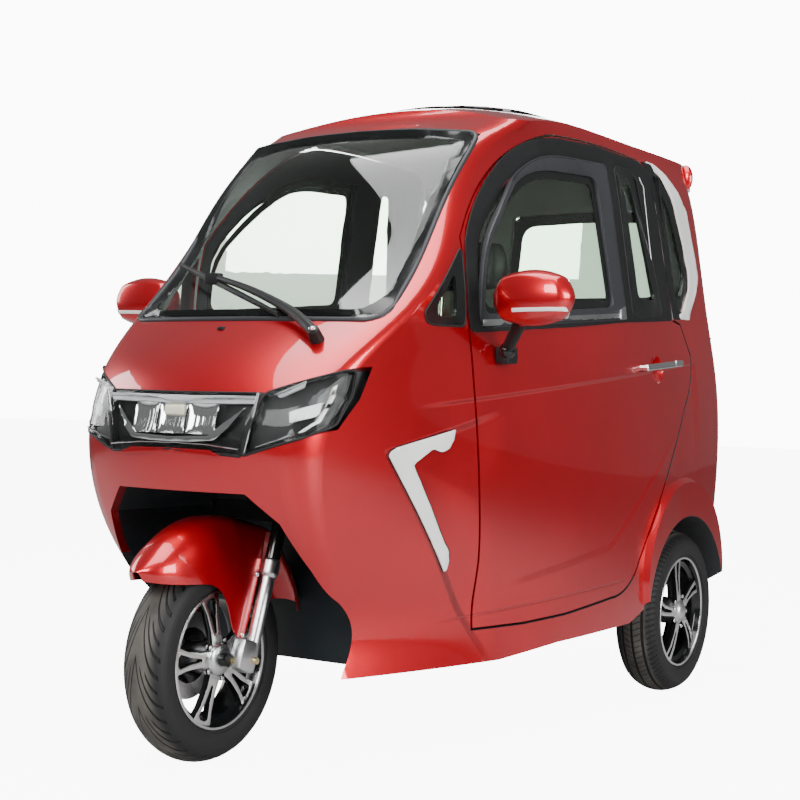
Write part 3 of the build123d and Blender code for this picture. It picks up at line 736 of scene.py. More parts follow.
pane_edge = side_marks((1424, 1536), (1440, 1510), (1522, 1162), (1516, 1140))
pane_strip = bead(
    "pane_edge_strip_left", skin_of("door_left", "fixed_pane_border_left"), "left", pane_edge, 0.0018, 0.004,
    closed=False)
pair(pane_strip, satin_metal, "door_left")
ledge = side_marks((500, 1048), (1256, 1108), (1256, 1124), (500, 1064))
ledge_strip = sheet(
    "window_ledge_strip_left", door_skin, "left", rounded(ledge, 0.003), lift=0.005, thick=0.004, calm=2)
pair(ledge_strip, satin_metal, "door_left")
ledge_end = side_marks((1222, 1102), (1262, 1106), (1264, 1144), (1228, 1132))
ledge_clip = sheet(
    "window_ledge_clip_left", door_skin, "left", rounded(ledge_end, 0.006), lift=0.008, thick=0.006, calm=2,
    edge=0.0015)
pair(ledge_clip, satin_metal, "door_left")

# Rear pillar: black cover, dark quarter pane border and the white trim behind it
pillar_skin = skin_of("roof")
pillar_cover = side_marks(
    (1557, 1569), (1518, 1598), (1580, 1597), (1612, 1562), (1650, 1160), (1690, 1150),
    (1700, 1130), (1617, 1126))
rear_pane = side_marks(
    (1583, 1576), (1632, 1566), (1700, 1502), (1770, 1282), (1764, 1240), (1690, 1152), (1634, 1146))
rear_pane_clear = side_marks(
    (1600, 1520), (1622, 1528), (1668, 1478), (1732, 1280), (1728, 1248), (1684, 1196), (1650, 1196))
cover = sheet("rear_pillar_cover_left", pillar_skin, "left", rounded(pillar_cover, 0.008), lift=0.0025,
              thick=0.004)
pair(cover, matt_black, "body")
border = sheet("rear_quarter_border_left", pillar_skin, "left", rounded(rear_pane, 0.02),
               [rounded(rear_pane_clear, 0.03)], lift=0.002, thick=0.009, pitch=0.01, edge=0)
pair(border, ceramic, "body")
white_trim = side_marks(
    (1546, 1601), (1600, 1599), (1672, 1580), (1748, 1540), (1806, 1486), (1852, 1290), (1850, 1262),
    (1742, 1130), (1668, 1130), (1664, 1146), (1694, 1152), (1768, 1236), (1774, 1282), (1704, 1506),
    (1636, 1570), (1590, 1580))
trim = sheet("rear_pillar_trim_left", pillar_skin, "left", rounded(white_trim, 0.012), lift=0.005,
             thick=0.006, pitch=0.01, edge=0.0015)
pair(trim, white_gloss, "body")

# Front quarter window with its wide black border
quarter_skin = skin_of("roof", "front_side_left")
quarter_edge = side_marks((431, 1240), (268, 1068), (278, 1047), (304, 1041), (431, 1043))
quarter_clear = side_marks((392, 1170), (316, 1086), (322, 1064), (392, 1066))
quarter_border = sheet(
    "front_quarter_border_left", quarter_skin, "left", rounded(quarter_edge, 0.02),
    [rounded(quarter_clear, 0.015)], lift=0.0015, thick=0.009, pitch=0.01, edge=0)
pair(quarter_border, ceramic, "body")
quarter_bead = bead(
    "front_quarter_bead_left", quarter_skin, "left", rounded(quarter_edge, 0.02), 0.0025, 0.001)
pair(quarter_bead, rubber, "body")

# Windscreen and rear window: black border and grey rubber profile
for pane_name, sight, pane_outline, clear_outline in (
    ("windscreen", "front",
     both_halves(front_marks((340, 1041), (362, 1047), (374, 1064), (350, 1547), (150, 1566), (0, 1570))),
     both_halves(front_marks((338, 1068), (316, 1522), (140, 1540), (0, 1544)))),
    ("rear_window", "rear",
     both_halves(front_marks((297, 1193), (260, 1496), (0, 1506))),
     both_halves(front_marks((268, 1222), (234, 1466), (0, 1476)))),
):
    pane_skin = skin_of(pane_name)
    border = sheet(f"{pane_name}_border", pane_skin, sight, rounded(pane_outline, 0.03),
                   [rounded(clear_outline, 0.05)], lift=0.002, thick=0.0015, pitch=0.02, edge=0)
    wear(border, ceramic, "body")
    profile = bead(f"{pane_name}_seal", pane_skin, sight, rounded(pane_outline, 0.03), 0.0075, 0.003)
    wear(profile, grey_rubber, "body")

# Front lamps
# Each lamp is a black plastic tub with plated reflectors under a clear moulded lens. It is
# clipped into the nose from behind and sealed round its edge with black rubber.


def lamp_tub(name, outline, lens_material, side=None):
    """Housing walls, back, clear lens and rubber edge of one lamp; a side lamp gets its twin."""
    end = f"_{side}" if side else ""
    walls = sheet(f"{name}_wall{end}", lamp_skin, "front", outline, [inset(outline, 0.002)],
                  lift=-0.001, thick=0.021, pitch=0.02, edge=0)
    back = sheet(f"{name}_back{end}", lamp_skin, "front", outline, lift=-0.0205, thick=0.002, edge=0)
    lens = sheet(f"{name}_lens{end}", lamp_skin, "front", inset(outline, 0.001), lift=0.0004,
                 thick=0.0025, calm=2)
    edge = bead(f"{name}_edge{end}", lamp_skin, "front", outline, 0.003, 0.0005)
    for piece, material in ((walls, matt_black), (back, matt_black), (lens, lens_material), (edge, rubber)):
        wear(piece, material, "body")
        if side:
            twin(piece, "body")
    return back


gloss_black = grained("gloss black plastic", (0.006, 0.0065, 0.007), 0.12, 300.0, 0.00002, spread=0.05)
clear_lens = glass_material("clear lens", (0.97, 0.98, 0.98))
finish_of(clear_lens)["IOR"].default_value = 1.18
light_guide = grained("light guide", (0.6, 0.62, 0.63), 0.18, 300.0, 0.00003, spread=0.06)
finish_of(light_guide)["Coat Weight"].default_value = 0.5
mirror_metal = grained("reflector plating", (0.93, 0.93, 0.93), 0.04, 200.0, 0.00001, 1.0, 0.02)

# White light bar with fine upright ribs
ribbed_white = new_material("ribbed white", (0.85, 0.86, 0.86), 0.2)
ribbed_tree = ribbed_white.node_tree
_, rib_x, _, _ = place_axes(ribbed_tree)
rib_calc = calculator(ribbed_tree)
rib_wave = rib_calc("SINE", rib_calc("MULTIPLY", rib_x, 1100.0))
bump_from(ribbed_white, rib_wave, 0.0006)

lamp_skin = skin_of("centre_lamp", *sides("corner_lamp"), "hood", "nose_panel", *sides("front_side"))
centre_outline = rounded(both_halves(front_marks((0, 736), (187, 725), (220, 867), (0, 865))), 0.004)
centre_back = lamp_tub("centre_lamp", centre_outline, clear_lens)
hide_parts("centre_lamp")
corner_outline = rounded(
    front_marks((189, 725), (223, 869), (373, 927), (367, 862), (352, 793), (313, 768)), 0.012)
corner_back = lamp_tub("corner_lamp", corner_outline, clear_lens, "left")
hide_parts("corner_lamp_left")
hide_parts("corner_lamp_right")

# Light guides along the top, with a plated line in each
top_guide = sheet("centre_lamp_guide", lamp_skin, "front",
                  both_halves(front_marks((0, 842), (214, 846), (217, 863), (0, 861))),
                  lift=-0.004, thick=0.006, edge=0.0015)
wear(top_guide, light_guide, "body")
corner_guide = sheet("corner_lamp_guide_left", lamp_skin, "front",
                     front_marks((226, 852), (228, 866), (314, 900), (310, 887)), lift=-0.004, thick=0.006,
                     edge=0.0015)
pair(corner_guide, light_guide, "body")
plated_lines = (
    ("centre_lamp_top_line", both_halves(front_marks((213, 854), (0, 851))), 0.0016, -0.001),
    ("centre_lamp_low_line", both_halves(front_marks((188, 741), (100, 748), (0, 750))), 0.0018, -0.006),
)
for line_name, line, radius, lift in plated_lines:
    line = sorted(line, key=lambda point: point[0])
    strip = bead(line_name, lamp_skin, "front", line, radius, lift, closed=False)
    wear(strip, chrome, "body")
for line_name, line, radius, lift in (
    ("lamp_divider", front_marks((222, 868), (205, 796), (188, 725)), 0.0032, 0.0015),
    ("corner_lamp_top_line", front_marks((228, 860), (312, 894)), 0.0014, -0.001),
    ("corner_lamp_low_line", front_marks((212, 747), (268, 764), (300, 776)), 0.002, -0.004),
):
    strip = bead(f"{line_name}_left", lamp_skin, "front", line, radius, lift, closed=False)
    pair(strip, chrome, "body")

# Plated bezel round the main reflectors, open at the top and pointed at its ends
bezel_half = front_marks(
    (0, 753), (62, 754), (122, 759), (150, 784), (190, 838), (148, 804), (126, 786), (108, 769), (0, 764))
bezel = sheet("centre_lamp_bezel", lamp_skin, "front",
              rounded([*bezel_half, *[(-x, z) for x, z in reversed(bezel_half[1:-1])]], 0.008),
              lift=-0.004, thick=0.009, pitch=0.008, calm=3, edge=0.002)
wear(bezel, chrome, "body")

# Three plated reflector bowls with shallow flutes in place of their flat facets, and the beam lens of the
# middle one
bowl_width = 0.078
bowl_height = 0.07
bowl_z = 0.806
for place, bowl_x in (("right", -0.082), ("middle", 0.0), ("left", 0.082)):
    bpy.ops.object.select_all(action="DESELECT")
    bpy.ops.mesh.primitive_grid_add(x_subdivisions=28, y_subdivisions=20, size=1)
    bowl = bpy.context.object
    bowl.name = f"centre_lamp_bowl_{place}"
    flat = [(bowl_x + v.co.x * bowl_width, bowl_z + v.co.y * bowl_height) for v in bowl.data.vertices]
    laid, _ = laid_on(lamp_skin, "front", flat, [])
    for vertex, point in zip(bowl.data.vertices, laid):
        hollow = (1 - (2 * vertex.co.x) ** 2) * (1 - (2 * vertex.co.y) ** 2)
        flute = 0.0008 * math.cos(vertex.co.x * 40) * hollow
        vertex.co = point + Vector((0, 0.006 + 0.0125 * hollow ** 0.7 + flute, 0))
    modify(bowl, "SOLIDIFY", thickness=0.001, offset=1)
    soft_edges(bowl, 50)
    wear(bowl, mirror_metal, "body")
bpy.ops.object.select_all(action="DESELECT")
beam_spot = laid_on(lamp_skin, "front", [(0.002, 0.824)], [])[0][0]
beam_place = beam_spot + Vector((0, 0.01, 0))
bpy.ops.mesh.primitive_cube_add(size=1, location=beam_place, scale=(0.058, 0.012, 0.024))
beam_lens = bpy.context.object
beam_lens.name = "centre_lamp_beam_lens"
bpy.ops.object.transform_apply(location=True, rotation=True, scale=True)
modify(beam_lens, "BEVEL", width=0.0055, segments=3)
soft_edges(beam_lens)
wear(beam_lens, grained("beam lens", (0.62, 0.62, 0.48), 0.25, 200.0, 0.0001, spread=0.1), "body")

# Corner lamps: ribbed light bar, white day light and its two dark windows
for piece_name, outline, material, lift, thick in (
    ("corner_light_bar", front_marks((284, 830), (344, 852), (341, 826), (334, 818), (288, 806)),
     ribbed_white, -0.009, 0.008),
    ("corner_day_light",
     front_marks((357, 892), (356, 862), (343, 806), (316, 783), (308, 782), (333, 806), (346, 838),
                 (350, 886)), white_gloss, -0.003, 0.01),
    ("corner_day_window_upper", front_marks((355, 881), (355, 869), (349, 868), (350, 879)), gloss_black,
     -0.0012, 0.004),
    ("corner_day_window_lower", front_marks((356, 852), (352, 838), (344, 837), (347, 849)), gloss_black,
     -0.0012, 0.004),
):
    piece = sheet(f"{piece_name}_left", lamp_skin, "front", rounded(outline, 0.003, 0.01), lift=lift,
                  thick=thick, pitch=0.008, calm=3, edge=0.001)
    pair(piece, material, "body")

# Red lip of the nose that rises into the lamp's lower edge
nose_skin = skin_of("nose_panel", "centre_lamp")
lip_outline = both_halves(front_marks((0, 726), (130, 722), (142, 726), (112, 737), (0, 739)))
nose_lip = sheet("nose_lip", nose_skin, "front", lip_outline, lift=0.0055, thick=0.008, edge=0.0015)
wear(nose_lip, plain_red, "body")

# White side inserts
# Gloss white moulding shaped like a bent arrow, pressed into a recess of each front side.
insert_outline = side_marks(
    (171, 729), (178, 741), (201, 751), (400, 793), (394, 766), (374, 744), (350, 738), (322, 746),
    (264, 716), (258, 706), (386, 521, 20), (409, 500, 20), (417, 470, 20), (410, 450), (402, 446))
front_side_skin = skin_of("front_side_left")
insert = sheet("side_insert_left", front_side_skin, "left", rounded(insert_outline, 0.006), lift=0.003,
               thick=0.005, pitch=0.012, edge=0.0012)
pair(insert, white_gloss, "body")
insert_edge = bead("side_insert_edge_left", front_side_skin, "left", rounded(insert_outline, 0.006), 0.0018)
pair(insert_edge, rubber, "body")

# Door handles and mirrors
# A plated grip with a lock barrel crosses a round recess. The mirror is a smooth red shell
# with a clear strip, a red neck and a black arm that turns on a ball on the door.
dress(chrome, *sides("door_handle"))


def form_of(name, place, size, ball=0.5, turn=None):
    """Rounded form between a box and a ball, of a given size."""
    bpy.ops.object.select_all(action="DESELECT")
    bpy.ops.mesh.primitive_cube_add(size=1)
    piece = bpy.context.object
    piece.name = name
    modify(piece, "SUBSURF", subdivision_type="SIMPLE", levels=4, render_levels=4)
    modify(piece, "CAST", factor=ball)
    reach = max(vertex.co.x for vertex in piece.data.vertices)
    scale = Matrix.Diagonal((*(part / 2 / reach for part in size), 1))
    piece.data.transform(Matrix.Translation(Vector(place)) @ (turn or Matrix()) @ scale)
    bpy.ops.object.shade_smooth()
    return piece


def rod(name, points, radii, order=3):
    """Smooth round bar through control points, with its own radius at each of them."""
    curve = bpy.data.curves.new(name, "CURVE")
    curve.dimensions = "3D"
    curve.bevel_depth = 1.0
    curve.bevel_resolution = 4
    curve.resolution_u = 6
    curve.use_fill_caps = True
    spline = curve.splines.new("NURBS")
    spline.points.add(len(points) - 1)
    for spot, point, radius in zip(spline.points, points, radii):
        spot.co = (*point, 1)
        spot.radius = radius
    spline.order_u = order
    spline.use_endpoint_u = True
    piece = meshed(name, curve)
    soft_edges(piece, 50)
    return piece


lock = rod("door_lock_left", [(0.528, 0.622, 0.992), (0.5355, 0.622, 0.992)], [0.009, 0.009], order=2)
pair(lock, satin_metal, "door_left")

mirror_middle = Vector((0.605, -0.4476, 1.114))
mirror_half = Vector((0.1075, 0.05, 0.068))
mirror_shell = form_of("mirror_shell_left", mirror_middle, mirror_half * 2, 0.78)
for vertex in mirror_shell.data.vertices:
    across = (vertex.co.x - mirror_middle.x) / mirror_half.x
    upward = (vertex.co.z - mirror_middle.z) / mirror_half.z
    behind = (vertex.co.y - mirror_middle.y) / mirror_half.y
    if behind > 0:
        vertex.co.y = mirror_middle.y + mirror_half.y * min(behind, 0.5)
    vertex.co.z += -0.004 * max(across, 0) ** 2 * (1 if upward > 0 else -1)
    vertex.co.x += 0.004 * min(upward, 0) * (across < 0) * abs(across)
modify(mirror_shell, "SMOOTH", factor=0.5, iterations=4)
shell_left, shell_right = pair(mirror_shell, plain_red, "door_left")
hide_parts("mirror_left")
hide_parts("mirror_right")
neck = rod("mirror_neck_left", [(0.592, -0.44, 1.1), (0.572, -0.424, 1.079), (0.548, -0.405, 1.056)],
           [0.036, 0.021, 0.0155])
pair(neck, plain_red, "door_left")
arm = rod("mirror_arm_left", [(0.552, -0.408, 1.06), (0.525, -0.385, 1.036), (0.49, -0.354, 1.0)],
          [0.0178, 0.0165, 0.0155], order=2)
pair(arm, matt_black, "door_left")
ball = form_of("mirror_ball_left", (0.482, -0.346, 0.99), (0.042, 0.046, 0.044), 1.0)
pair(ball, gloss_black, "door_left")
pad = form_of("mirror_pad_left", (0.473, -0.332, 0.979), (0.04, 0.056, 0.046), 0.3)
pair(pad, matt_black, "door_left")
back_glass = form_of("mirror_glass_left", mirror_middle + Vector((0, 0.0245, 0)), (0.186, 0.004, 0.112), 0.45)
pair(back_glass, mirror_metal, "door_left")
shell_skin = skin_of("mirror_shell_left")
strip_outline = rounded(front_marks((570, 1078), (570, 1087), (700, 1090), (700, 1081)), 0.003)
clear_strip = sheet("mirror_light_strip_left", shell_skin, "front", strip_outline, lift=0.0026, thick=0.005,
                    pitch=0.006, calm=1, edge=0.001)
pair(clear_strip, white_gloss, "door_left")

# Windscreen wiper and washer nozzle
# Pressed black steel arm on a pivot beside the hood, with a jointed rubber blade. The
# nozzle sits in the middle of the hood.
off_glass = Vector((0.12, -0.72, 0.68)).normalized()


def over_screen(x, at, z, rise):
    """Point a given rise above a measured point of the hood or windscreen, in millimetres."""
    return Vector((x / 1000, front_axle_y + at / 1000, z / 1000)) + off_glass * rise / 1000


wiper_arm = rod(
    "wiper_arm",
    [over_screen(268, 49, 990, 26), over_screen(232, 70, 1010, 30), over_screen(140, 114, 1054, 26),
     over_screen(-40, 168, 1112, 30), over_screen(-150, 200, 1138, 24)],
    [0.013, 0.0135, 0.0115, 0.0085, 0.007])
wear(wiper_arm, matt_black, "body")
pivot_spot = (264, 51, 993)
pivot = rod("wiper_pivot", [over_screen(*pivot_spot, -6), over_screen(*pivot_spot, 34)], [0.018, 0.014],
            order=2)
wear(pivot, matt_black, "body")
nut_cap = form_of("wiper_nut_cap", over_screen(*pivot_spot, 36), (0.02, 0.02, 0.014), 1.0)
wear(nut_cap, satin_metal, "body")
blade_line = ((-331, 277, 1188), (-232, 230, 1159), (-89, 173, 1115), (19, 135, 1080), (119, 103, 1047))
blade = rod("wiper_blade", [over_screen(*point, 7) for point in blade_line], [0.0045] * 5)
wear(blade, rubber, "body")
backing = rod("wiper_backing", [over_screen(*point, 15) for point in blade_line],
              [0.004, 0.0065, 0.0075, 0.0065, 0.004])
wear(backing, matt_black, "body")
hinge = form_of("wiper_hinge", over_screen(-150, 197, 1135, 22), (0.05, 0.022, 0.03), 0.3)
wear(hinge, matt_black, "body")
nozzle = form_of("washer_nozzle", over_screen(-21, 60, 1018, 2), (0.022, 0.016, 0.01), 0.5)
wear(nozzle, matt_black, "body")

# Roof hatch
# Low black hatch in the middle of the roof; its front edge is all that shows from the front.
hatch_outline = [(x, front_axle_y + at) for x, at in both_halves(front_marks(
    (0, 930), (150, 940), (220, 970), (250, 1020), (250, 1260), (200, 1310), (0, 1320)))]
hatch = sheet("roof_hatch", skin_of("roof"), "top", rounded(hatch_outline, 0.06), lift=0.006, thick=0.012,
              pitch=0.03, edge=0.003)
wear(hatch, gloss_black, "body")

# Ends of the roof's rear lip
# The red lip over the rear window is rounded off where it meets the sides.
lip_end = form_of("roof_lip_end_left", (0.391, 0.993, 1.597), (0.05, 0.03, 0.085), 1.0)
pair(lip_end, plain_red, "body")

# Wheels and tyres
# Cast alloy wheels, painted black and then machined bright on their faces. The front tyre
# has curved scooter grooves, the rear ones four ribs with cuts on their shoulders.
rear_wheel_x = 0.476


def turned(name, profile, place, steps=120, closed=True):
    """Ring turned round a wheel's axle from an outline of (distance across, radius) in mm."""
    mesh = bpy.data.meshes.new(name)
    count = len(profile)
    edges = [(index, (index + 1) % count) for index in range(count if closed else count - 1)]
    mesh.from_pydata([(x / 1000, 0, radius / 1000) for x, radius in profile], edges, [])
    piece = placed(name, mesh)
    modify(piece, "SCREW", axis="X", steps=steps, render_steps=steps, use_merge_vertices=True,
           merge_threshold=0.00001)
    welded(piece, 0.00001)
    piece.data.transform(Matrix.Translation(Vector(place)))
    soft_edges(piece, 40)
    return piece


# Place on a tyre: turn round the axle, part of the way across, and distance from the axle
tyre_place, tyre_in, tyre_out = new_group(
    "tyre place",
    [("Centre X", "NodeSocketFloat", 0.0), ("Centre Y", "NodeSocketFloat", 0.0),
     ("Half", "NodeSocketFloat", 0.06)],
    [("Turn", "NodeSocketFloat"), ("Across", "NodeSocketFloat"), ("Radius", "NodeSocketFloat")])
calc = calculator(tyre_place)
_, tyre_x, tyre_y, tyre_z = place_axes(tyre_place)
axle_socket = tyre_in.outputs["Centre Y"]
from_y = calc("SUBTRACT", tyre_y, axle_socket)
from_z = calc("SUBTRACT", tyre_z, wheel_z)
turn = calc("DIVIDE", calc("ARCTAN2", from_z, from_y), 2 * math.pi)
from_x = calc("SUBTRACT", calc("ABSOLUTE", tyre_x), tyre_in.outputs["Centre X"])
across = calc("DIVIDE", from_x, tyre_in.outputs["Half"])
radius = distance_of(calc, tyre_y, tyre_z, axle_socket)
tyre_place.links.new(turn, tyre_out.inputs["Turn"])
tyre_place.links.new(across, tyre_out.inputs["Across"])
tyre_place.links.new(radius, tyre_out.inputs["Radius"])


def tyre_material(name, centre_x, centre_y, half, grooves):
    """Rubber whose tread grooves come from a function of turn and place across."""
    material = new_material(name, (0.012, 0.012, 0.0125), 0.6)
    tree = material.node_tree
    finish_of(material)["Specular IOR Level"].default_value = 0.35
    calc = calculator(tree)
    place = use_group(material, tyre_place, **{"Centre X": centre_x, "Centre Y": centre_y, "Half": half})
    turn, across, radius = (place.outputs[label] for label in ("Turn", "Across", "Radius"))
    groove = grooves(tree, calc, turn, across, calc("ABSOLUTE", across))
    on_tread = ramp(tree, radius, 0.212, 0.22)
    groove = calc("MULTIPLY", groove, on_tread)
    rings = calc("SINE", calc("MULTIPLY", radius, 900.0))
    ring_height = calc("MULTIPLY", calc("MULTIPLY", rings, 0.00012), calc("SUBTRACT", 1.0, on_tread))
    fine = use_group(material, grain, Scale=500.0).outputs["Height"]
    height = calc("MULTIPLY_ADD", groove, -0.006, calc("MULTIPLY_ADD", fine, 0.0004, ring_height))
    bump_from(material, height)
    # Lighter grey-brown tone on the middle of the tread crown: partly real dust, partly painted sheen where
    # the crown catches the light.
    dust_and_sheen_clouds = use_group(material, mottle, Scale=14.0, Low=0.4, High=1.0).outputs["Value"]
    dust_and_sheen_on_crown = calc("MULTIPLY", dust_and_sheen_clouds, ramp(tree, calc("ABSOLUTE", across), 0.8, 0.4))
    dust_and_sheen = calc("MULTIPLY", calc("MULTIPLY", dust_and_sheen_on_crown, on_tread), calc("SUBTRACT", 1.0, groove))
    rubber_colour = mixed(tree, dust_and_sheen, (0.011, 0.011, 0.012), (0.13, 0.12, 0.105))
    # Painted shade: the grooves are coloured darker than the rubber round them.
    rubber_colour = mixed(tree, groove, rubber_colour, (0.003, 0.003, 0.003))
    tree.links.new(rubber_colour, finish_of(material)["Base Color"])
    return material


def band(tree, value, middle, width):
    """1 within a width about the middle of a value, falling softly to 0."""
    calc = calculator(tree)
    return ramp(tree, calc("ABSOLUTE", calc("SUBTRACT", value, middle)), width, width * 0.6)


def scooter_grooves(tree, calc, turn, across, sideways):
    side_shift = calc("MULTIPLY", calc("GREATER_THAN", across, 0.0), 0.5)
    sweep = calc("MULTIPLY", calc("POWER", calc("SUBTRACT", 1.05, sideways), 2.2), -1.3)
    phase = calc("ADD", calc("SUBTRACT", calc("MULTIPLY", turn, 13.0), sweep), side_shift)
    phase = calc("FRACT", calc("ADD", phase, 20.0))
    found = None
    for middle, width, inner, outer in (
        (0.2, 0.06, -0.1, 0.8),
        (0.53, 0.05, 0.4, 0.76),
        (0.83, 0.055, 0.2, 0.84),
    ):
        begins = ramp(tree, sideways, inner, inner + 0.05)
        ends = ramp(tree, sideways, outer + 0.05, outer)
        line = calc("MULTIPLY", band(tree, phase, middle, width), calc("MULTIPLY", begins, ends))
        found = line if found is None else calc("MAXIMUM", found, line)
    return found


def ribbed_grooves(tree, calc, turn, across, sideways):
    found = calc("MAXIMUM", band(tree, sideways, 0.0, 0.06), band(tree, sideways, 0.46, 0.065))
    slant = calc("MULTIPLY", sideways, 1.5)
    steps = calc("FRACT", calc("ADD", calc("MULTIPLY_ADD", turn, 84.0, 100.0), slant))
    shoulder = calc("MULTIPLY", band(tree, steps, 0.5, 0.17), ramp(tree, sideways, 0.6, 0.66))
    sipe = calc("MULTIPLY", band(tree, steps, 0.2, 0.09), ramp(tree, sideways, 0.42, 0.36))
    return calc("MAXIMUM", found, calc("MAXIMUM", shoulder, calc("MULTIPLY", sipe, 0.6)))


def tyre_profile(half):
    """Half outline of a tyre's section from bead to crown, closed by its mirror image."""
    wall = [(-14, 159), (-12, 164), (-9, 168), (-8, 172), (-4, 173), (-2.5, 178), (-1, 188), (0, 198),
            (-1, 207), (-3.5, 215), (-8, 222)]
    tread = [(0.76, 228.5), (0.6, 234.5), (0.4, 239.5), (0.2, 242.5), (0, 243.4)]
    one_side = [(half + x, radius) for x, radius in wall] + [(half * part, radius) for part, radius in tread]
    return one_side + [(-x, radius) for x, radius in reversed(one_side[:-1])]


# Gloss black casting paint, and its faces turned bright on a lathe
machined = {}
for wheel_kind, axle_y in (("front", front_axle_y), ("rear", rear_axle_y)):
    metal = new_material(f"machined {wheel_kind} face", (0.8, 0.8, 0.8), 0.24, 1.0)
    metal_calc = calculator(metal.node_tree)
    spot = use_group(metal, tyre_place, **{"Centre Y": axle_y})
    bump_from(metal, metal_calc("SINE", metal_calc("MULTIPLY", spot.outputs["Radius"], 5200.0)), 0.00003)
    machined[wheel_kind] = metal


def two_tone(piece, paint, metal, body, least=0.8):
    """Paint all over, with bright metal on the faces that look along the axle."""
    piece.data.materials.clear()
    piece.data.materials.append(paint)
    piece.data.materials.append(metal)
    for face in piece.data.polygons:
        face.material_index = 1 if face.normal.x > least else 0
    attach(piece, body)
    return piece


def spoke_plate(name, outline, slot, face_x, dish, thick):
    """One double spoke: a plate with a slot, in (radius, sideways) millimetres, dished."""
    edge = rounded([(r / 1000, t / 1000) for r, t in outline], 0.004, 0.008)
    hole = rounded([(r / 1000, t / 1000) for r, t in slot], 0.003, 0.008)
    flat, kept = triangulated(edge, [hole])
    places = [
        ((face_x - dish * ((point.x * 1000 - 40) / 115) ** 2) / 1000, point.y, point.x) for point in flat]
    piece = new_piece(name, places, kept)
    if sum(face.normal.x * face.area for face in piece.data.polygons) < 0:
        piece.data.flip_normals()
    modify(piece, "SOLIDIFY", thickness=thick / 1000, offset=-1)
    modify(piece, "BEVEL", width=0.0012, segments=2, limit_method="ANGLE", angle_limit=math.radians(50))
    return piece


def round_the_axle(piece, count, first_turn=0.0):
    """Copies a piece to equal steps round the X axis and joins them."""
    copies = []
    for step in range(count):
        copy = placed(f"{piece.name}_{step}", piece.data.copy())
        copy.data.transform(Matrix.Rotation(first_turn + step * 2 * math.pi / count, 4, "X"))
        copies.append(copy)
    name = piece.name
    bpy.data.objects.remove(piece)
    alone(copies[0])
    for copy in copies:
        copy.select_set(True)
    bpy.ops.object.join()
    copies[0].name = name
    copies[0].data.name = name
    return copies[0]


def nuts(name, radius, x, size, count, place, first_turn=0.0):
    """Ring of hexagon nuts with domed ends."""
    bpy.ops.object.select_all(action="DESELECT")
    bpy.ops.mesh.primitive_cylinder_add(
        vertices=6, radius=size, depth=size * 1.6, location=(x, 0, radius), rotation=(0, math.pi / 2, 0))
    nut = bpy.context.object
    nut.name = name
    bpy.ops.object.transform_apply(location=True, rotation=True, scale=True)
    modify(nut, "BEVEL", width=size * 0.2, segments=2)
    ring = round_the_axle(nut, count, first_turn)
    ring.data.transform(Matrix.Translation(Vector(place)))
    soft_edges(ring, 30)
    return ring


spoke_turn = math.radians(14)
spoke_count = 5
spoke_thick = 17
wheel_kinds = {
    "front": {
        "half": 60, "bead": 48, "tread": scooter_grooves,
        "outline": [(38, -19), (72, -17), (118, -22), (152, -33), (158, 0), (152, 33), (118, 22), (72, 17),
                    (38, 19)],
        "slot": [(64, -3), (104, -8), (140, -17), (147, -8), (147, 8), (140, 17), (104, 8), (64, 3)],
        "hub": [(-46, 0), (-46, 34), (20, 36), (44, 40), (50, 37), (54, 30), (55, 17), (55, 0)],
        "face": 47, "dish": 3,
    },
    "rear": {
        "half": 65, "bead": 53, "tread": ribbed_grooves,
        "outline": [(34, -15), (70, -13), (112, -12), (150, -6), (158, 22), (152, 42), (116, 23), (74, 13),
                    (34, 13)],
        "slot": [(62, -2), (108, -1), (142, 7), (149, 14), (148, 27), (112, 11), (64, 4)],
        "hub": [(-46, 0), (-46, 40), (30, 40), (50, 36), (53, 28), (57, 26), (62, 20), (64, 10), (64.5, 0)],
        "face": 52, "dish": 4,
    },
}
for kind, place_x, place_y, tyre_node, rim_node, body in (
    ("front", 0.0, front_axle_y, "front_tyre", "front_rim", "front_wheel"),
    ("rear", rear_wheel_x, rear_axle_y, "rear_tyre_left", "rear_rim_left", "rear_wheel_left"),
):
    shape = wheel_kinds[kind]
    axle_place = (place_x, place_y, wheel_z)
    bead_x = shape["bead"]
    end = "_left" if kind == "rear" else ""
    tread = tyre_material(f"{kind} tyre", place_x, place_y, shape["half"] / 1000, shape["tread"])
    tyre_ring = turned(f"{kind}_tyre_cover{end}", tyre_profile(shape["half"]), axle_place, 160)
    wear(tyre_ring, tread, body)
    barrel = turned(f"{kind}_rim_barrel{end}", [
        (bead_x + 2, 164), (bead_x + 2, 158), (bead_x - 14, 152), (bead_x - 20, 140), (20 - bead_x, 140),
        (14 - bead_x, 152), (-bead_x - 2, 158), (-bead_x - 2, 164), (8 - bead_x, 157), (20 - bead_x, 146),
        (bead_x - 20, 146), (bead_x - 8, 157)], axle_place)
    wear(barrel, gloss_black, body)
    lip = turned(f"{kind}_rim_lip{end}", [
        (bead_x + 2, 157), (bead_x + 4.5, 158), (bead_x + 5, 163), (bead_x + 3, 165), (bead_x, 163)],
        axle_place, 160)
    wear(lip, machined[kind], body)
    spoke = spoke_plate(
        f"{kind}_rim_spokes{end}", shape["outline"], shape["slot"], shape["face"], shape["dish"], spoke_thick)
    spokes = round_the_axle(spoke, spoke_count, spoke_turn)
    spokes.data.transform(Matrix.Translation(Vector(axle_place)))
    soft_edges(spokes, 30)
    two_tone(spokes, gloss_black, machined[kind], body)
    hub = turned(f"{kind}_hub{end}", shape["hub"], axle_place, 64, closed=False)
    wear(hub, satin_metal, body)
    bolts = nuts(
        f"{kind}_wheel_nuts{end}", 0.047, shape["face"] / 1000 - 0.004, 0.007, spoke_count, axle_place,
        spoke_turn + math.pi / spoke_count)
    wear(bolts, chrome, body)
    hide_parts(tyre_node)
    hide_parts(rim_node)
    if kind == "rear":
        for piece in (tyre_ring, barrel, lip, spokes, hub, bolts):
            copy = twin(piece, body)
            if piece in (tyre_ring, barrel):
                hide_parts("rear_tyre_right" if piece is tyre_ring else "rear_rim_right")
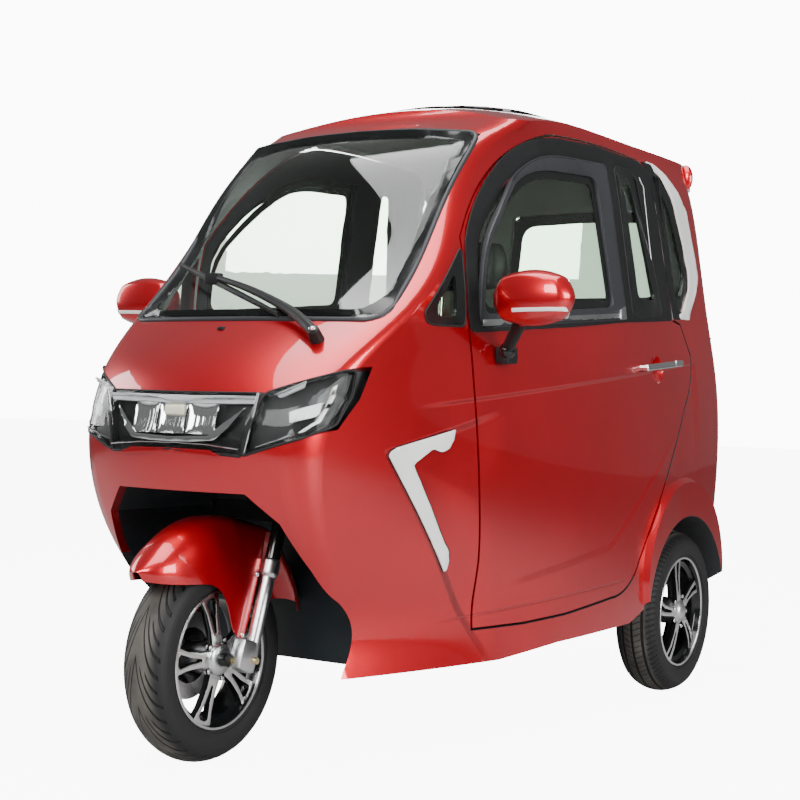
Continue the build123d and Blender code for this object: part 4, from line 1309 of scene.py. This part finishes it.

# Front hub details: spacer, brake disc drawn as a plain ring without its holes, and caliper
front_axle = (0.0, front_axle_y, wheel_z)
spacer_profile = [(54, 0), (54, 16), (66, 15), (70, 11), (74.6, 11), (74.6, 0)]
spacer = turned("front_axle_spacer", spacer_profile, front_axle, 48, closed=False)
wear(spacer, gloss_black, "front_wheel")
disc = turned("front_brake_disc", [(-46, 62), (-46, 104), (-42, 104), (-42, 62)], front_axle, 96)
wear(disc, satin_metal, "front_wheel")
disc_carrier = turned("front_disc_carrier", [(-45, 30), (-45, 66), (-41, 66), (-41, 30)], front_axle, 64)
wear(disc_carrier, gloss_black, "front_wheel")
caliper = form_of(
    "front_brake_caliper", (-0.049, front_axle_y - 0.078, wheel_z + 0.055), (0.05, 0.055, 0.085), 0.25,
    Matrix.Rotation(math.radians(35), 4, "X"))
wear(caliper, matt_black, "steering")
bracket = rod(
    "caliper_bracket",
    [(-0.076, front_axle_y - 0.06, wheel_z + 0.05), (-0.088, front_axle_y, wheel_z + 0.04)],
    [0.012, 0.014], order=2)
wear(bracket, satin_metal, "steering")

# Front fork and fender
# Satin alloy lower legs with lugs for the axle, black upper tubes under a clamp, and a red
# moulded fender that wraps the tyre and is screwed to the legs by its side tongues.
dress(gloss_black, "fork_crown")
fork_lean = math.radians(19)
leg_x = 92
brass = grained("brass plated steel", (0.75, 0.62, 0.36), 0.25, 500.0, 0.00003, 1.0)


def on_fork(x, up, ahead=0.0):
    """Point of the fork by millimetres to the left, up along the legs and ahead of them."""
    return Vector((
        x / 1000,
        front_axle_y + (55 + up * math.sin(fork_lean) - ahead * math.cos(fork_lean)) / 1000,
        wheel_z + (up * math.cos(fork_lean) + ahead * math.sin(fork_lean)) / 1000,
    ))


leg = rod("fork_leg_left", [on_fork(leg_x, -18), on_fork(leg_x, 60), on_fork(leg_x, 236)],
          [0.0158, 0.0168, 0.0172], order=2)
pair(leg, satin_metal, "steering")
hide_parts("fork_legs")
sleeve = rod("fork_sleeve_left", [on_fork(leg_x, 232), on_fork(leg_x, 328)], [0.0185, 0.0185], order=2)
pair(sleeve, gloss_black, "steering")
collar = rod("fork_collar_left",
             [on_fork(leg_x, 196), on_fork(leg_x, 203), on_fork(leg_x, 236), on_fork(leg_x, 240)],
             [0.0175, 0.0222, 0.0222, 0.02], order=2)
pair(collar, satin_metal, "steering")
lug = form_of("fork_lug_left", on_fork(leg_x, 2, 22), (0.034, 0.07, 0.08), 0.3,
              Matrix.Rotation(-fork_lean, 4, "X"))
pair(lug, satin_metal, "steering")
lug_bolt = rod("fork_lug_bolt_left", [on_fork(106, -4, 0), on_fork(116, -4, 0)], [0.009, 0.008], order=2)
pair(lug_bolt, brass, "steering")
axle_cap = rod("front_axle_cap_left", [(0.0755, front_axle_y, wheel_z), (0.081, front_axle_y, wheel_z)],
               [0.0165, 0.015], order=2)
pair(axle_cap, rubber, "steering")
axle_nut = rod("front_axle_nut_left", [(0.04, front_axle_y, wheel_z), (0.094, front_axle_y, wheel_z)],
               [0.0095, 0.0085], order=2)
pair(axle_nut, brass, "steering")

# Stations of the fender from its pointed tip to its tail: lower edge as millimetres behind
# the axle and height, half width there, and turn of the crown ahead of the axle in degrees
fender_stations = (
    (-240, 441, 12, 49), (-229, 438, 32, 47), (-206, 434, 50, 44), (-168, 430, 66, 39), (-128, 427, 74, 31),
    (-90, 423, 77, 24), (-62, 415, 77, 18), (-38, 400, 77, 14), (-18, 376, 77, 10), (-3, 338, 77, 6),
    (9, 300, 77, 3), (25, 274, 77, 0), (42, 264, 77, -3), (59, 280, 77, -6), (77, 332, 77, -9),
    (94, 392, 77, -12), (108, 440, 77, -15), (120, 490, 76, -18), (132, 535, 74, -23), (160, 520, 73, -32),
    (205, 462, 71, -44), (248, 405, 69, -56), (278, 352, 65, -66), (292, 326, 58, -71))
fender_crown = 0.335
stations = []
for index in range(len(fender_stations) - 1):
    before, here, after, beyond = (
        fender_stations[min(max(index + offset, 0), len(fender_stations) - 1)] for offset in (-1, 0, 1, 2))
    for step in range(4):
        t = step / 4
        stations.append([
            0.5 * (2 * b + (c - a) * t + (2 * a - 5 * b + 4 * c - d) * t ** 2
                   + (3 * b - a - 3 * c + d) * t ** 3)
            for a, b, c, d in zip(before, here, after, beyond)])
stations.append(list(fender_stations[-1]))
half_count = 14
fender_points = []
for at, z, half, degrees in stations:
    turn = math.radians(degrees)
    crown = Vector((0, -fender_crown * math.sin(turn), fender_crown * math.cos(turn)))
    low = Vector((0, at / 1000, z / 1000 - wheel_z))
    for step in range(-half_count, half_count + 1):
        swing = math.pi / 2 * step / half_count
        square = 0.85 - 0.45 * max(0.0, 1 - abs(at - 50) / 170)
        aside = math.copysign(abs(math.sin(swing)) ** square, step) * half / 1000
        rise = math.cos(swing) ** square if abs(step) < half_count else 0
        fender_points.append(Vector((aside, front_axle_y, wheel_z)) + low.lerp(crown, rise))
row = 2 * half_count + 1
fender_faces = [
    (start, start + 1, start + row + 1, start + row)
    for station in range(len(stations) - 1)
    for start in range(station * row, station * row + row - 1)]
fender_shell = new_piece("front_fender_shell", fender_points, fender_faces)
if sum(face.normal.z * face.area for face in fender_shell.data.polygons) < 0:
    fender_shell.data.flip_normals()
modify(fender_shell, "SMOOTH", factor=0.5, iterations=3)
modify(fender_shell, "SOLIDIFY", thickness=0.003, offset=-1)
soft_edges(fender_shell, 40)
wear(fender_shell, plain_red, "steering")
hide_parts("front_fender")
for screw_name, screw_place in (
    ("fender_screw_low", (0.0785, front_axle_y + 0.042, 0.298)),
    ("fender_screw_high", (0.0785, front_axle_y + 0.094, 0.436)),
):
    screw = form_of(f"{screw_name}_left", screw_place, (0.006, 0.011, 0.011), 0.7)
    pair(screw, chrome, "steering")

# Wheel arch, frame and running gear
# A dark moulded liner closes the front arch; frame and axle are welded steel in satin black.
liner_plastic = grained("dark liner plastic", (0.012, 0.017, 0.021), 0.42, 900.0, 0.0003)
frame_paint = grained("satin black frame paint", (0.012, 0.012, 0.013), 0.38, 250.0, 0.0003)
dress(liner_plastic, "wheel_arch_liner")
dress(frame_paint, "chassis", "rear_axle")

# Black rubber strip on the sill, behind the gap under each door
sill_skin = skin_of("door_left", *sides("front_side"), *sides("rear_side"))
sill_line = side_marks(
    (536, 272), (726, 276), (900, 286), (1130, 311), (1232, 342), (1240, 374), (1130, 345), (900, 319),
    (726, 310), (536, 310))
sill_strip = sheet("sill_strip_left", sill_skin, "left", rounded(sill_line, 0.004), lift=-0.036, thick=0.003,
                   pitch=0.02, calm=8, edge=0)
pair(sill_strip, rubber, "body")

# Dashboard and controls
# Grained dark grey moulding with a display hood, and a handlebar with rubber grips, switch
# housings and alloy brake levers. The floor is covered in black rubber.
dash_plastic = grained("dark grey dash plastic", (0.055, 0.058, 0.062), 0.5, 800.0, 0.0003)
battery_case = grained("battery case", (0.02, 0.02, 0.022), 0.35, 300.0, 0.0002)
dress(dash_plastic, "dashboard")
dress(matt_black, "handlebar", "floor_pan")
dress(battery_case, "battery")
bar_y = -0.518
bar_z = 1.047
display = form_of("display_glass", (0, front_axle_y + 0.2165, 0.985), (0.19, 0.006, 0.1), 0.08)
wear(display, gloss_black, "body")
grip = rod("grip_left", [(0.124 + 0.0035 * step, bar_y, bar_z) for step in range(34)],
           [0.019 if step % 4 < 2 else 0.0175 for step in range(34)], order=2)
pair(grip, rubber, "steering")
switch = form_of("switch_housing_left", (0.098, bar_y, bar_z + 0.003), (0.046, 0.05, 0.052), 0.3)
pair(switch, matt_black, "steering")
lever_line = [(0.105, bar_y - 0.025, bar_z), (0.14, bar_y - 0.055, bar_z),
              (0.19, bar_y - 0.056, bar_z - 0.002), (0.236, bar_y - 0.048, bar_z - 0.004)]
lever = rod("brake_lever_left", lever_line, [0.008, 0.0062, 0.005, 0.0065])
pair(lever, satin_metal, "steering")

# Seats
# Foam cushions under black grained leather cloth, with sewn channels across the middle and
# piping round the edge. The driver has a headrest on two steel posts.
leather = grained("black leather cloth", (0.02, 0.02, 0.022), 0.42, 380.0, 0.0006)


def cushion(name, at, z, size, lean=0.0, ball=0.12, voxel=0.006, cap=0.016, channels=3, along="Z"):
    """Foam pad blown up by cloth simulation, with sewn channels pressed into its front."""
    turn = Matrix.Rotation(math.radians(-lean), 4, "X")
    place = Vector((0, front_axle_y + at / 1000, z / 1000))
    pad = form_of(name, (0, 0, 0), [part - 0.012 for part in size], ball)
    modify(pad, "REMESH", mode="VOXEL", voxel_size=voxel)
    start = [vertex.co.copy() for vertex in pad.data.vertices]
    alone(pad)
    cloth = pad.modifiers.new("cloth", "CLOTH")
    cloth.settings.use_pressure = True
    cloth.settings.uniform_pressure_force = 4.0
    cloth.settings.effector_weights.gravity = 0.0
    for step in range(1, 21):
        bpy.context.scene.frame_set(step)
    blown = pad.evaluated_get(bpy.context.evaluated_depsgraph_get()).data
    ends = [vertex.co.copy() for vertex in blown.vertices]
    pad.modifiers.remove(cloth)
    bpy.context.scene.frame_set(1)
    for vertex, first, last in zip(pad.data.vertices, start, ends):
        move = last - first
        if move.length > cap:
            move = move * (cap / move.length)
        vertex.co = first + move
    face_axis, other_axis = (2, 1) if along == "Z" else (1, 2)
    facing = 1 if along == "Z" else -1
    width, depth = size[0] / 2, size[other_axis] / 2
    for vertex in pad.data.vertices:
        out = vertex.co[face_axis] * facing / (size[face_axis] / 2)
        if out < 0.3:
            limit = -size[face_axis] / 2
            if vertex.co[face_axis] * facing < limit:
                vertex.co[face_axis] = limit * facing
            continue
        inner = max(abs(vertex.co.x) / width, abs(vertex.co[other_axis]) / depth)
        border = math.exp(-((inner - 0.74) / 0.025) ** 2)
        spot = vertex.co[other_axis] / depth
        lines = sum(
            math.exp(-((spot - (2 * (line + 1) / (channels + 1) - 1) * 0.74) / 0.03) ** 2)
            for line in range(channels))
        pressed_in = max(border, lines if inner < 0.74 else 0.0)
        vertex.co[face_axis] -= 0.007 * pressed_in * facing
    for vertex in pad.data.vertices:
        for axis in range(3):
            half = size[axis] / 2 + 0.002
            vertex.co[axis] = max(-half, min(half, vertex.co[axis]))
    modify(pad, "SMOOTH", factor=0.4, iterations=2)
    modify(pad, "SUBSURF", levels=1, render_levels=1)
    pad.data.transform(Matrix.Translation(place) @ turn)
    alone(pad)
    bpy.ops.object.shade_smooth()
    wear(pad, leather, "body")
    return pad


driver_base = cushion("driver_seat_cushion", 883, 572, (0.39, 0.315, 0.1))
cushion("driver_back_cushion", 1128, 892, (0.39, 0.088, 0.49), lean=8.5, along="Y", channels=4)
cushion("driver_headrest", 1152, 1258, (0.32, 0.086, 0.16), ball=0.4, channels=0, along="Y")
bench_base = cushion("rear_bench_cushion", 1576, 606, (0.65, 0.355, 0.09), voxel=0.008)
cushion("rear_back_cushion", 1832, 872, (0.65, 0.072, 0.43), lean=8.0, along="Y", voxel=0.008)
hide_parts("driver_seat")
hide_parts("rear_seat")
for post_side, post_x in (("left", 0.07), ("right", -0.07)):
    post_y = front_axle_y + 1.156
    post_line = [(post_x, post_y, 1.11), (post_x, post_y, 1.22)]
    post = rod(f"headrest_post_{post_side}", post_line, [0.006, 0.006], order=2)
    wear(post, chrome, "body")

# Tail
# Red moulded tail lamps wrap the rear corners. Between them the hatch of the luggage bay has
# a rubber-sealed gap and a recessed pull, and a bare plate hangs on two screws.
tail_red = grained("tail lamp red", (0.32, 0.003, 0.006), 0.1, 300.0, 0.00002, spread=0.04)
tail_amber = grained("signal amber", (0.75, 0.18, 0.01), 0.14, 300.0, 0.00002, spread=0.04)
for lens in (tail_red, tail_amber):
    finish_of(lens)["Coat Weight"].default_value = 1.0
dress(tail_red, *sides("tail_lamp"))
tail_skin = skin_of("tail_panel", *sides("tail_lamp"), *sides("rear_side"), "roof")
for piece_name, outline, material, lift in (
    ("tail_signal", front_marks((350, 874), (452, 874), (452, 918), (350, 918)), tail_amber, 0.0012),
    ("tail_reverse_light", front_marks((350, 926), (450, 926), (450, 952), (350, 952)), ribbed_white, 0.0012),
    ("rear_reflector", front_marks((340, 486), (384, 486), (384, 520), (340, 520)), tail_red, 0.003),
):
    piece = sheet(f"{piece_name}_left", tail_skin, "rear", rounded(outline, 0.006), lift=lift, thick=0.004,
                  pitch=0.012, calm=2, edge=0.0008)
    pair(piece, material, "body")
for piece_name, outline, material, radius, closed in (
    ("tail_lamp_edge", front_marks((452, 1086), (336, 1086), (334, 860), (452, 858)), rubber, 0.0026, False),
    ("tail_light_ring", front_marks((356, 972), (446, 972), (440, 1066), (356, 1066)), chrome, 0.0028, True),
    ("rear_reflector_edge", front_marks((339, 485), (385, 485), (385, 521), (339, 521)), rubber, 0.0022,
     True),
):
    path = rounded(outline, 0.012) if closed else outline
    piece = bead(f"{piece_name}_left", tail_skin, "rear", path, radius, 0.0008, closed=closed)
    pair(piece, material, "body")
hatch_gap = bead("tail_hatch_gap", tail_skin, "rear",
                 rounded(both_halves(front_marks((0, 1162), (306, 1156), (322, 600), (0, 590))), 0.04),
                 0.0022, -0.0006)
wear(hatch_gap, rubber, "body")
for piece_name, half_width, low_z, high_z, material, lift, thick in (
    ("tail_pull_bezel", 66, 868, 908, matt_black, 0.004, 0.006),
    ("tail_pull", 54, 878, 900, chrome, 0.008, 0.006),
    ("plate_backing", 130, 640, 800, matt_black, 0.005, 0.006),
    ("blank_plate", 120, 648, 792, white_gloss, 0.008, 0.003),
    ("high_stop_light", 110, 1517, 1529, tail_red, 0.004, 0.006),
):
    outline = front_marks(
        (half_width, low_z), (half_width, high_z), (-half_width, high_z), (-half_width, low_z))
    piece = sheet(piece_name, tail_skin, "rear", rounded(outline, 0.008), lift=lift, thick=thick, pitch=0.02,
                  calm=2, edge=0.001)
    wear(piece, material, "body")
tail_plate_y = max(vertex.co.y for vertex in bpy.data.objects["blank_plate"].data.vertices)
for screw_side, screw_x in (("left", 0.08), ("right", -0.08)):
    screw = form_of(f"plate_screw_{screw_side}", (screw_x, tail_plate_y, 0.72), (0.012, 0.005, 0.012), 0.7)
    wear(screw, satin_metal, "body")
